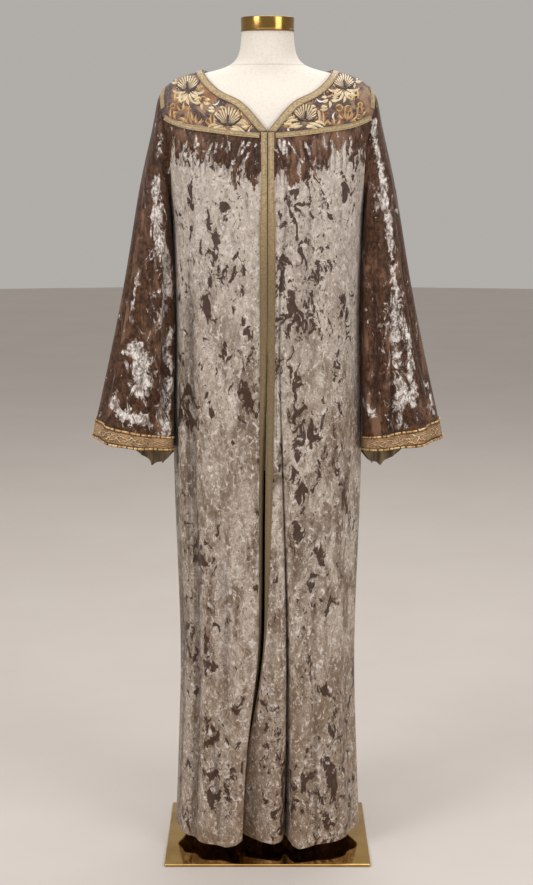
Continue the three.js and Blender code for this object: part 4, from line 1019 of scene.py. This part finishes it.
# Pleats that lie over their neighbours down the sleeves and cuffs.
SLEEVE_PLEATS = {
    1: {
        "front": [
            ([(210, 1140), (218, 1050), (221, 958), (221, 822), (221, 800)], 12, 5.0, 1),
            ([(272, 995), (282, 922), (287, 822), (288, 802)], 10, 5.0, 1),
            ([(177, 1317), (185, 1229), (194, 1122), (200, 1050)], 12, 2.6, 1),
        ],
        "back": [
            ([(196, 1240), (208, 1050), (214, 880), (216, 800)], 13, 4.5, 1),
            ([(250, 1080), (270, 930), (280, 810)], 11, 4.5, -1),
        ],
    },
    -1: {
        "front": [
            ([(-234, 1122), (-248, 1033), (-269, 953), (-277, 900), (-293, 835), (-296, 808)], 12, 5.0, -1),
            ([(-206, 1140), (-206, 1050), (-207, 953), (-212, 846), (-213, 800)], 7, 2.6, -1),
        ],
        "back": [
            ([(-196, 1240), (-206, 1050), (-212, 880), (-214, 800)], 13, 4.5, -1),
            ([(-246, 1100), (-264, 940), (-274, 810)], 11, 4.5, 1),
        ],
    },
}
# Silvery patches of painted sheen where the sleeves' dark pile is crushed: their line, width in mm and strength.
SLEEVE_SILVER = {
    1: {
        "front": [
            ([(167, 1317), (168, 1229), (164, 1140), (160, 1050), (163, 977), (164, 903), (162, 844)], 6.8, 1.0),
            ([(189, 1366), (193, 1335), (201, 1291), (209, 1238), (217, 1185), (221, 1140)], 7.5, 1.0),
            ([(221, 1140), (227, 1095), (231, 1064)], 9.0, 0.8),
            ([(231, 1064), (230, 1013), (234, 958), (240, 903), (241, 829)], 16.5, 0.75),
            ([(248, 1010), (256, 968), (262, 936), (259, 903), (265, 862)], 9.0, 0.8),
            ([(166, 881), (177, 862), (188, 851)], 10.5, 0.6),
            ([(293, 894), (298, 866), (305, 844)], 12.0, 0.55),
        ],
        "back": [
            ([(178, 1300), (186, 1180), (190, 1060)], 10.5, 0.9),
            ([(214, 1220), (232, 1090), (244, 980)], 12.0, 0.8),
            ([(196, 1000), (204, 900), (206, 840)], 18.0, 0.8), ([(256, 940), (268, 870)], 15.0, 0.8),
        ],
    },
    -1: {
        "front": [
            ([(-186, 1373), (-192, 1342), (-192, 1317)], 6.0, 0.8),
            ([(-198, 1265), (-200, 1229)], 9.0, 0.8),
            ([(-197, 1217), (-197, 1181), (-188, 1140)], 12.0, 0.9),
            ([(-185, 1140), (-180, 1100), (-180, 1064)], 15.0, 1.0),
            ([(-186, 1064), (-190, 1021)], 10.5, 0.9), ([(-195, 1010), (-181, 995)], 12.0, 0.55),
            ([(-176, 991), (-183, 958), (-180, 927)], 10.5, 0.8),
            ([(-240, 962), (-231, 933), (-226, 900)], 22.5, 0.95),
            ([(-285, 866), (-267, 851), (-245, 840), (-223, 829)], 13.5, 0.9),
            ([(-182, 894), (-192, 851), (-183, 807)], 16.5, 0.6),
            ([(-232, 1106), (-238, 1068), (-244, 1033)], 3.8, 0.7),
            ([(-261, 995), (-263, 958)], 9.0, 0.4),
        ],
        "back": [
            ([(-180, 1290), (-186, 1170), (-192, 1080)], 12.0, 0.9),
            ([(-220, 1180), (-236, 1060)], 12.0, 0.8), ([(-200, 980), (-206, 860)], 18.0, 0.8),
            ([(-258, 930), (-272, 850)], 15.0, 0.8),
        ],
    },
}


# Behind, where the facing shows under the cuff, it hangs lower in points: where and how much, in mm.
FACING_POINTS = {
    1: ((174, 3), (190, 12), (216, 10), (240, 4)),
    -1: ((-172, 3), (-192, 12), (-218, 11), (-242, 4)),
}


def crumpled_hem(facing, side):
    """The facing is bunched inwards behind and its hem hangs in uneven points."""
    spots, normals = places(facing), places(facing, "normal")
    behind, low = ramp(spots[:, 1], 0, 0.02), ramp(spots[:, 2], 0.8, -0.045)
    for at, drop in FACING_POINTS[side]:
        near = np.exp(-np.abs(spots[:, 0] * 1000 - at) / 6) * low * behind
        spots[:, 2] -= drop / 1000 * near
        spots -= normals * (drop / 1300 * near)[:, None]
    place(facing, spots)


LEAN = 0.0034


def lean_in(piece, side):
    """The sleeve's inner side lies against the body below the armhole."""
    spots, normals = places(piece), places(piece, "normal")
    high = ramp(spots[:, 2], 0.86, 0.1) * ramp(spots[:, 2], 1.3, -0.06)
    spots[:, 0] -= side * LEAN * high * np.clip(-normals[:, 0] * side, 0, 1)
    place(piece, spots)


def bead_shape():
    """One gold bead of the braid, a rounded bar of unit length, as points and faces."""
    piece = primitive(bpy.ops.mesh.primitive_cube_add, "bead", size=1)
    finish_with(piece, "BEVEL", width=0.28, segments=2, limit_method="NONE")
    shape = [v.co.copy() for v in piece.data.vertices], [tuple(face.vertices) for face in piece.data.polygons]
    bpy.data.objects.remove(piece)
    return shape


def edge_rings(piece):
    """The rings of points round an open sheet's cut edges, each with its way inwards and its normal.

    A ring starts at its hindmost edge, so that a braid's ends meet behind and always in the same place.
    """
    bm = bmesh.new()
    bm.from_mesh(piece.data)
    left = {edge for edge in bm.edges if edge.is_boundary}
    rings = []
    while left:
        edge = max(left, key=lambda e: e.verts[0].co.y + e.verts[1].co.y)
        left.remove(edge)
        start, at, ring = edge.verts[0], edge.verts[1], []
        while True:
            face = edge.link_faces[0]
            middle = (edge.verts[0].co + edge.verts[1].co) / 2
            ring.append((middle, (face.calc_center_median() - middle).normalized(), face.normal.copy()))
            if at is start:
                break
            edge = next(e for e in at.link_edges if e in left)
            left.remove(edge)
            at = edge.other_vert(at)
        rings.append(ring)
    bm.free()
    return rings


BEADS = (11.5, 8.0, 13.0, 9.5, 12.0, 7.0, 10.5)  # lengths of the braid's beads in turn, in mm
BEAD_GAP, BEAD_WIDTH, BEAD_RISE = 0.0014, 0.0036, 0.003
BEAD_INSET, BEAD_LIFT = 0.0024, 0.0005  # from the cuff's edge, and off its cloth
BEAD_END = 0.006  # no bead starts nearer than this to the braid's end


def beaded_braid(cuff, suffix):
    """Gold beads end to end along both edges of the cuff, with a dark gap between them."""
    points, faces = bead_shape()
    bm = bmesh.new()
    for ring in edge_rings(cuff):
        track = [0.0]
        for one, two in zip(ring, ring[1:] + ring[:1]):
            track.append(track[-1] + (two[0] - one[0]).length)
        done, k = 0.0, 0
        while done < track[-1] - BEAD_END:
            long = BEADS[k % len(BEADS)] / 1000
            middle = min(int(np.searchsorted(track, done + long / 2)), len(ring) - 1)
            at, into, normal = ring[middle]
            along = (ring[(middle + 1) % len(ring)][0] - ring[middle - 1][0]).normalized()
            up = (normal - along * normal.dot(along)).normalized()
            beside = along.cross(up)
            at = at + beside * (BEAD_INSET if beside.dot(into) > 0 else -BEAD_INSET) + up * BEAD_LIFT
            sides = along * (long - BEAD_GAP), beside * BEAD_WIDTH, up * BEAD_RISE
            made = [bm.verts.new(at + sides[0] * p.x + sides[1] * p.y + sides[2] * p.z) for p in points]
            for face in faces:
                bm.faces.new([made[v] for v in face])
            done += long
            k += 1
    bmesh.ops.recalc_face_normals(bm, faces=bm.faces)
    piece = new_piece("gold_braid_" + suffix, bm)
    smooth_by(piece, 50)
    dress(piece, gold_beads, "brocade")


def round_and_up(cuff, side):
    """Marks how far round the cuff each spot lies, in metres, and its share of the band's height."""
    rings = sorted(edge_rings(cuff), key=lambda ring: np.mean([at.z for at, _, _ in ring]))
    low, high = (distances(cuff, [at for at, _, _ in ring]) for ring in rings)
    spots = places(cuff)
    middle = spots.mean(0)
    turns = np.arctan2(spots[:, 1] - middle[1], (spots[:, 0] - middle[0]) * side)
    mark(cuff, "around", turns * CUFF_RADIUS)
    mark(cuff, "up", low / (low + high))
    return low / (low + high)


def sleeve_set(suffix, side):
    """The sleeve with its cuff band and its facing, creased and pleated together."""
    parts = [
        outer_cloth(node + suffix, name + suffix, wall, sleeve_middle(side), slack=0.0014)
        for node, name, wall in (
            ("sleeve_", "velvet_sleeve_", VELVET),
            ("cuff_", "brocade_cuff_", BROCADE),
            ("cuff_facing_", "satin_facing_", SATIN),
        )
    ]
    sleeve, cuff, facing = parts
    for part in parts:
        made_fine(part)
    spots = places(cuff)
    spots[:, 2] += CUFF_GROWTH * round_and_up(cuff, side) - CUFF_DROP
    place(cuff, spots)
    for part in parts:
        lean_in(part, side)
    pushed(parts, SLEEVE_CREASES[side], crease)
    crumpled_hem(facing, side)
    pushed(parts, SLEEVE_PLEATS[side], pleat)
    count = len(sleeve.data.vertices)
    mark(sleeve, "dark_pile", np.full(count, 3.0))
    mark(sleeve, "silver", painted(sleeve, SLEEVE_SILVER[side]))
    mark(sleeve, "pressed", np.zeros(count))
    mark(sleeve, "ridge", ridges(sleeve))
    beaded_braid(cuff, suffix)
    return parts


# ---------------------------------------------------------------- the yoke's embroidery
# How wide a stitched shape is along its length, as shares of its full half width.
WIDTHS = {
    "petal": ((0, 0.4, 0.86, 0.96, 1), (0.16, 0.58, 1.0, 0.86, 0.5)),
    "leaf": ((0, 0.25, 0.5, 0.8, 1), (0.3, 0.95, 1.0, 0.55, 0.1)),
    "drop": ((0, 0.15, 0.5, 0.8, 1), (0.15, 0.6, 0.85, 1.0, 0.4)),
    "cord": ((0, 0.08, 0.92, 1), (0.4, 1.0, 1.0, 0.4)),
}
# Across a shape: the share of its half width, and of its rise.
PADDED = ((-1, -0.25), (-0.6, 0.75), (0, 1), (0.6, 0.75), (1, -0.25), (0, -0.5))


def stitch(across, height, heading, length, bend, half, shape, rise=1.0, steps=9):
    """One stitched shape: it starts at a spot (mm), heads off (degrees, 90 is up) and turns as it goes."""
    spots, at, way = [], np.array((across, height), dtype=float), math.radians(heading)
    for _ in range(steps):
        spots.append(tuple(at))
        at = at + length / (steps - 1) * np.array((math.cos(way), math.sin(way)))
        way += math.radians(bend) / (steps - 1)
    return spots, half * np.interp(np.linspace(0, 1, steps), *WIDTHS[shape]), rise


def fan(across, height, tilt, tall, wide):
    """A fan palmette: cream petals round a dark drop, on a dark curved band."""
    petals, ribs = [], []
    for k in range(-6, 7):
        angle = 11.5 * k
        reach = math.hypot(tall * math.cos(math.radians(angle)), wide * math.sin(math.radians(angle)))
        lean = math.radians(angle + tilt)
        start = (across - 3 * math.sin(lean), height + 3 * math.cos(lean))
        petals.append(stitch(*start, 90 + angle + tilt, reach - 3, 0, 2.3, "petal", 1.1, 7))
        ribs.append(stitch(*start, 90 + angle + 5.75 + tilt, reach - 2, 0, 0.75, "cord", 1.5, 7))
    lean = math.radians(tilt)
    start = (across - 4 * math.sin(lean), height + 4 * math.cos(lean))
    drop = stitch(*start, 90 + tilt, tall * 0.42, 0, 3.4, "drop", 2.4)
    bands = [
        stitch(across, height, 176 + tilt, wide * 1.3, -66, 2.3, "cord", 1.9),
        stitch(across, height, 4 + tilt, wide * 1.45, 74, 2.3, "cord", 1.9),
    ]
    return {"cream": petals, "plum": ribs, "umber": [drop, *bands]}


def leaf_rows(across, height, leaves, half, rise, steps=9):
    """Leaves: where each starts beside a spot, its heading, length and bend."""
    return [
        stitch(across + dx, height + dz, heading, length, bend, half, "leaf", rise, steps)
        for dx, dz, heading, length, bend in leaves
    ]


def skirt(across, height, leaves):
    """Curled leaves that hang under a fan."""
    return {"cream": leaf_rows(across, height, leaves, 2.9, 1.3)}


def collar(across, height, near, first, last):
    """Plum ribs round the shoulder of a fan."""
    ribs = []
    for angle in np.arange(first, last, 7.0):
        lean = math.radians(angle)
        start = (across + near * math.cos(lean), height + near * math.sin(lean))
        ribs.append(stitch(*start, angle, 12, 0, 1.3, "leaf", 0.9, 5))
    return {"plum": ribs}


def scroll(across, height, heading, size):
    """A gold scroll with a bud in it."""
    turned = stitch(across, height, heading, size * 3.4, 250, 1.4, "leaf", 1.4, 14)
    middle = [np.mean([p[k] for p in turned[0]]) for k in (0, 1)]
    bud = stitch(middle[0] - 2, middle[1] - 1, 30, 5, 0, 2.0, "leaf", 1.6, 6)
    tail = stitch(across, height, heading + 150, size * 1.5, -70, 1.6, "leaf", 1.2)
    return {"gold": [turned, tail], "rust": [bud]}


def sprig(across, height, leaves):
    """Small gold leaves with rust ones behind them."""
    behind = [(dx + 3, dz - 1, heading + 24, length * 0.8, -bend) for dx, dz, heading, length, bend in leaves]
    gold = leaf_rows(across, height, leaves, 1.9, 1.2, 8)
    return {"gold": gold, "rust": leaf_rows(across, height, behind, 1.9, 0.9, 8)}


def crescent(across, height, heading, length):
    """A crescent of pearly sequins."""
    return {"pearl": [stitch(across, height, heading, length, 95, 1.7, "leaf", 1.6, 10)]}


UNDER_HIGH_FAN = [
    (-4, -2, 205, 26, -75), (-2, -5, 228, 24, -70), (0, -6, 250, 22, -60), (3, -6, 276, 21, 60),
    (5, -4, 305, 22, 70), (8, -2, 330, 24, 75), (-12, -4, 240, 20, 80), (13, -1, 305, 18, -75),
    (0, -14, 262, 12, 50),
]
UNDER_LOW_FAN = [
    (-8, -2, 186, 30, 32), (-4, -5, 196, 26, 20), (8, -2, -12, 26, -32), (12, 2, 20, 24, -70),
    (18, 8, 10, 22, -80), (4, -6, -14, 22, 10), (-18, 0, 168, 20, 75), (-2, -8, 182, 14, -20),
    (24, -2, -20, 16, 60),
]
FILLING = [
    (0, 0, 200, 14, -60), (3, -2, 250, 12, 50), (6, 1, 320, 13, 60), (-2, 3, 150, 11, 60), (8, 4, 30, 10, -70),
]
SPRIG = [
    (0, 0, 62, 13, 40), (2, 2, 100, 14, -40), (6, 0, 30, 12, 50), (-4, 0, 140, 11, -50), (-9, -3, 170, 10, 60),
]
ARM_LEAVES = [(0, 0, 95, 20, -28), (7, -3, 84, 17, 30), (-1, -6, 118, 14, 30)]
# Each motif on the wearer's right front: its kind, its spot in mm and its own sizes.
FRONT_MOTIFS = [
    (fan, -141, 1421, 4, 27, 20), (skirt, -141, 1421, UNDER_HIGH_FAN), (fan, -70, 1361, -4, 31, 22),
    (skirt, -70, 1361, UNDER_LOW_FAN), (collar, -70, 1364, 33, 80, 172), (scroll, -112, 1396, 20, 9),
    (crescent, -96, 1396, -10, 15), (scroll, -122, 1410, 190, 6), (sprig, -128, 1364, SPRIG),
    (sprig, -150, 1386, SPRIG), (sprig, -172, 1374, ARM_LEAVES), (scroll, -104, 1372, 200, 6),
    (sprig, -40, 1353, SPRIG[:3]), (crescent, -35, 1350, 10, 6), (scroll, -112, 1424, 100, 6),
    (sprig, -164, 1404, ARM_LEAVES[:2]), (skirt, -118, 1400, FILLING), (skirt, -92, 1386, FILLING),
    (sprig, -140, 1370, ARM_LEAVES), (scroll, -150, 1366, 40, 5), (skirt, -160, 1436, FILLING[:4]),
    (sprig, -100, 1364, ARM_LEAVES), (sprig, -52, 1372, ARM_LEAVES), (scroll, -164, 1392, 70, 5),
]
FRONT_MOTIFS_LEFT = [
    (fan, -136, 1425, -3, 26, 20), (skirt, -136, 1425, UNDER_HIGH_FAN), (fan, -65, 1368, 6, 29, 21),
    (skirt, -65, 1366, UNDER_LOW_FAN), (collar, -65, 1370, 31, 110, 176), (scroll, -104, 1410, 30, 9),
    (crescent, -98, 1402, -20, 15), (crescent, -116, 1370, 60, 15), (sprig, -138, 1372, SPRIG),
    (scroll, -128, 1396, 210, 7), (sprig, -166, 1382, ARM_LEAVES), (scroll, -140, 1384, 30, 7),
    (sprig, -42, 1356, SPRIG[:3]), (crescent, -38, 1351, 20, 6), (sprig, -118, 1362, SPRIG[:4]),
    (sprig, -160, 1406, ARM_LEAVES[:2]), (skirt, -112, 1404, FILLING), (skirt, -92, 1388, FILLING),
    (sprig, -148, 1372, ARM_LEAVES), (scroll, -158, 1372, 40, 5), (skirt, -156, 1438, FILLING[:4]),
    (sprig, -98, 1366, ARM_LEAVES), (sprig, -48, 1374, ARM_LEAVES), (scroll, -160, 1394, 70, 5),
]
BACK_MOTIFS = [
    (fan, 0, 1384, 0, 36, 26), (skirt, 0, 1384, UNDER_HIGH_FAN), (fan, -72, 1374, 6, 31, 22),
    (skirt, -72, 1374, UNDER_LOW_FAN), (collar, -72, 1376, 34, 60, 150), (fan, 72, 1376, -6, 31, 22),
    (skirt, 72, 1376, UNDER_HIGH_FAN), (collar, 72, 1378, 34, 30, 120), (fan, -132, 1412, 6, 26, 20),
    (skirt, -132, 1412, UNDER_HIGH_FAN), (fan, 130, 1414, -5, 26, 20),
    (skirt, 130, 1414, UNDER_HIGH_FAN), (scroll, -36, 1404, 20, 9), (crescent, -30, 1396, -10, 15),
    (scroll, 36, 1408, 160, 9), (crescent, 26, 1398, 200, 15), (scroll, -102, 1408, 40, 8),
    (scroll, 100, 1410, 150, 8), (crescent, 104, 1388, 100, 14), (crescent, -104, 1392, 60, 14),
    (sprig, -38, 1362, SPRIG), (sprig, 36, 1362, SPRIG), (sprig, -112, 1366, SPRIG),
    (sprig, 110, 1368, SPRIG), (sprig, -150, 1376, SPRIG), (sprig, 148, 1378, SPRIG),
    (sprig, -170, 1380, ARM_LEAVES), (sprig, 166, 1380, ARM_LEAVES), (scroll, -46, 1430, 60, 6),
    (scroll, 48, 1432, 120, 6), (sprig, -92, 1430, SPRIG), (sprig, 92, 1432, SPRIG),
    (skirt, -38, 1388, FILLING), (skirt, 38, 1386, FILLING), (skirt, -104, 1386, FILLING),
    (skirt, 100, 1388, FILLING),
]


def turned_over(shapes):
    """The same shapes for the other front."""
    return {
        thread: [([(-a, h) for a, h in line], widths, rise) for line, widths, rise in rows]
        for thread, rows in shapes.items()
    }


def gathered_shapes(motifs, turn=False):
    shapes = {}
    for motif, *sizes in motifs:
        made = turned_over(motif(*sizes)) if turn else motif(*sizes)
        for thread, rows in made.items():
            shapes.setdefault(thread, []).extend(rows)
    return shapes


def embroidered(name, tree, view, shapes, material):
    """Padded satin stitches laid on the yoke, each a closed low body that is sunk a little into the cloth."""
    towards = Vector((0, 1, 0)) if view == "front" else Vector((0, -1, 0))
    bm = bmesh.new()
    for line, widths, rise in shapes:
        rings = []
        for k, (at, half) in enumerate(zip(line, widths)):
            a, b = line[max(k - 1, 0)], line[min(k + 1, len(line) - 1)]
            way = Vector((b[0] - a[0], b[1] - a[1])).normalized()
            ring = []
            for share, up in PADDED:
                spot = Vector((at[0] - way.y * half * share, 0, at[1] + way.x * half * share)) / 1000
                on, normal = tree.ray_cast(spot - towards, towards)[:2]
                if on is None:
                    break
                ring.append(on + normal * up * rise * 0.0007)
            if len(ring) < len(PADDED):
                break
            rings.append([bm.verts.new(p) for p in ring])
        if len(rings) < 3:
            bmesh.ops.delete(bm, geom=[v for ring in rings for v in ring], context="VERTS")
            continue
        for one, two in zip(rings, rings[1:]):
            for k in range(len(PADDED)):
                bm.faces.new((one[k], one[k - 1], two[k - 1], two[k]))
        bm.faces.new(rings[0])
        bm.faces.new(reversed(rings[-1]))
    bmesh.ops.delete(bm, geom=[v for v in bm.verts if not v.link_faces], context="VERTS")
    bmesh.ops.recalc_face_normals(bm, faces=bm.faces)
    piece = new_piece(name, bm)
    smooth_by(piece, 60)
    dress(piece, material, "embroidery")


# ---------------------------------------------------------------- making the garment
base_plate()
stand_pole()
neck_cap()
dress_form()

fronts = {1: body_panel("front_left", 1), -1: body_panel("front_right", -1)}
back = body_panel("back", 0)
yokes = {
    side: outer_cloth(node, "embroidered_" + node, YOKE_CLOTH)
    for side, node in ((1, "yoke_front_left"), (-1, "yoke_front_right"), (0, "yoke_back"))
}
for yoke in yokes.values():
    made_fine(yoke)
gown_tree = tree_of(*fronts.values(), back, *yokes.values())
yoke_tree = tree_of(*yokes.values())
threads = {
    "cream": thread("cream_thread", srgb(232, 214, 178), srgb(196, 172, 132)),
    "umber": thread("umber_thread", srgb(84, 60, 46), srgb(50, 34, 28)),
    "plum": thread("plum_thread", srgb(104, 80, 78), srgb(70, 50, 50)),
    "gold": thread("gold_thread", srgb(220, 184, 124), srgb(170, 128, 72)),
    "rust": thread("rust_thread", srgb(184, 142, 106), srgb(136, 92, 62)),
    "pearl": thread("pearl_sequins", srgb(250, 248, 242), srgb(222, 216, 206)),
}
for title, view, motifs, turn in (
    ("right", "front", FRONT_MOTIFS, False),
    ("left", "front", FRONT_MOTIFS_LEFT, True),
    ("back", "back", BACK_MOTIFS, False),
):
    for colour, shapes in gathered_shapes(motifs, turn).items():
        embroidered("stitches_" + title + "_" + colour, yoke_tree, view, shapes, threads[colour])


def ribbon_piece(node):
    """A ribbon laid on the cloth that it is sewn to."""
    piece = outer_cloth(node, "ribbon_" + node, RIBBON)
    made_fine(piece)
    lay_on(piece, gown_tree, RIBBON_LIFT + RIBBON)
    if node.startswith(("placket", "neck_band")):
        spots = places(piece)
        spots[:, 0] -= np.sign(spots[:, 0]) * PLACKET_GAP * np.exp(-np.abs(spots[:, 0]) / 0.006)
        place(piece, spots)
    mark(piece, "edge", edge_distance(piece))
    mark(piece, "piping", np.full(len(piece.data.vertices), 1.0 if node.startswith("neck_band") else 0.0))
    return piece


ribbons = {
    node: ribbon_piece(node)
    for node in (
        "neck_band_left", "neck_band_right", "neck_band_back",
        "yoke_band_left", "yoke_band_right", "yoke_band_back",
        "armhole_band_left", "armhole_band_right", "placket_left", "placket_right",
    )
}
sleeves, cuffs, facings = {}, {}, {}
for suffix, side in (("left", 1), ("right", -1)):
    sleeves[side], cuffs[side], facings[side] = sleeve_set(suffix, side)

for piece in (*fronts.values(), back):
    made_thick(piece, VELVET)
    dress(piece, gown_velvet, "velvet", piece.name.replace("velvet_", ""))
for piece in yokes.values():
    made_thick(piece, YOKE_CLOTH)
    dress(piece, yoke_cloth, "embroidery", piece.name.replace("embroidered_", ""))
for node, piece in ribbons.items():
    made_thick(piece, RIBBON)
    dress(piece, gold_ribbon, "ribbon", node)
for group, wall, material, slot, prefix in (
    (sleeves, VELVET, gown_velvet, "velvet", "velvet_"),
    (cuffs, BROCADE, cuff_brocade, "brocade", "brocade_"),
    (facings, SATIN, khaki_satin, "satin", "satin_"),
):
    for piece in group.values():
        made_thick(piece, wall)
        node = piece.name.replace(prefix, "").replace("facing", "cuff_facing")
        dress(piece, material, slot, node)


YOKE = {
    title: "embroidered_yoke_" + node
    for title, node in (("left", "front_left"), ("right", "front_right"), ("back", "back"))
}
# What each sheet was cut to: width, length and, where the cut isn't a rectangle, its area, in metres. Then how it
# is held, what it rests on, and the small pieces that go with it.
CUTS = [
    ("velvet_front_left", (0.376, 1.35), 0.359, "gathered", [YOKE["left"]], []),
    ("velvet_front_right", (0.256, 1.35), 0.317, "gathered", [YOKE["right"]], []),
    ("velvet_back", (0.48, 1.35), 0.596, "gathered", [YOKE["back"]], []),
]
for title, flat, area in (
    ("left", (0.18, 0.151), 0.0184), ("right", (0.18, 0.151), 0.0184), ("back", (0.44, 0.152), 0.0477),
):
    stitches = ["stitches_" + title + "_" + colour for colour in threads]
    CUTS.append((YOKE[title], flat, area, "laid", ["dress_form"], stitches))
for band, title, flat, area in (
    ("neck", "left", (0.0125, 0.206), None), ("neck", "right", (0.0125, 0.206), None),
    ("neck", "back", (0.0125, 0.295), None), ("yoke", "left", (0.01, 0.188), 0.0016),
    ("yoke", "right", (0.01, 0.188), 0.0016), ("yoke", "back", (0.01, 0.392), 0.0034),
    ("armhole", "left", (0.01, 0.129), None), ("armhole", "right", (0.01, 0.129), None),
):
    CUTS.append(("ribbon_" + band + "_band_" + title, flat, area, "laid", [YOKE[title]], []))
CUTS += [
    ("ribbon_placket_left", (0.013, 1.325), None, "laid", ["velvet_front_left"], []),
    ("ribbon_placket_right", (0.013, 1.325), None, "laid", ["velvet_front_right"], []),
    ("velvet_sleeve_left", (0.515, 0.612), 0.213, "hung", [YOKE["left"]], []),
    ("velvet_sleeve_right", (0.515, 0.612), 0.212, "hung", [YOKE["right"]], []),
    ("brocade_cuff_left", (0.037, 0.5), None, "folded", ["velvet_sleeve_left"], ["gold_braid_left"]),
    ("brocade_cuff_right", (0.037, 0.5), None, "folded", ["velvet_sleeve_right"], ["gold_braid_right"]),
    ("satin_facing_left", (0.082, 0.52), None, "folded", ["velvet_sleeve_left"], []),
    ("satin_facing_right", (0.082, 0.512), None, "folded", ["velvet_sleeve_right"], []),
]
for title, flat, area, held, rests_on, with_pieces in CUTS:
    beside = [bpy.data.objects[name] for name in with_pieces if name in bpy.data.objects]
    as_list(rests_on)


# ---------------------------------------------------------------- floor, light and camera
def studio():
    sizes = {"vertices": 64, "radius": 12, "fill_type": "NGON"}
    floor = primitive(bpy.ops.mesh.primitive_circle_add, "floor", location=(0, 0, -0.0004), **sizes)
    look = Look("pale_floor", Roughness=0.6)
    cloudy = look.speckle(look.place(), 1, 2.2, 6, 0.6)
    floor.data.materials.append(look.done(look.mix(cloudy, srgb(206, 196, 188), srgb(218, 210, 203))))

    world = bpy.data.worlds.new("studio")
    world.use_nodes = True
    world.node_tree.nodes["Background"].inputs["Color"].default_value = srgb(236, 232, 227)
    world.node_tree.nodes["Background"].inputs["Strength"].default_value = 0.52
    bpy.context.scene.world = world
    for name, spot, size, energy in (
        ("key", (-2.6, -2.3, 2.6), 1.3, 54),
        ("fill", (2.6, -2.3, 2.1), 1.6, 43),
        ("top", (0.0, -0.6, 3.4), 2.0, 24),
        ("back", (0.6, 2.2, 3.9), 2.4, 52),
    ):
        light = bpy.data.lights.new(name, "AREA")
        light.shape, light.size, light.energy = "SQUARE", size, energy
        lamp = bpy.data.objects.new(name, light)
        lamp.location = spot
        lamp.rotation_euler = (Vector((0, 0, 0.85)) - Vector(spot)).to_track_quat("-Z", "Y").to_euler()
        bpy.context.collection.objects.link(lamp)
    bpy.context.scene.view_settings.view_transform = "Standard"


LENS, EYE, DOWN = 68.5, (-0.0019, -3.098, 1.3457), 10.386  # mm, metres, and degrees below level


def camera():
    data = bpy.data.cameras.new("camera")
    data.lens, data.sensor_width, data.sensor_fit = LENS, 36, "AUTO"
    eye = bpy.data.objects.new("camera", data)
    eye.location = EYE
    eye.rotation_euler = (math.radians(90 - DOWN), 0, 0)
    bpy.context.collection.objects.link(eye)
    bpy.context.scene.camera = eye


studio()
camera()
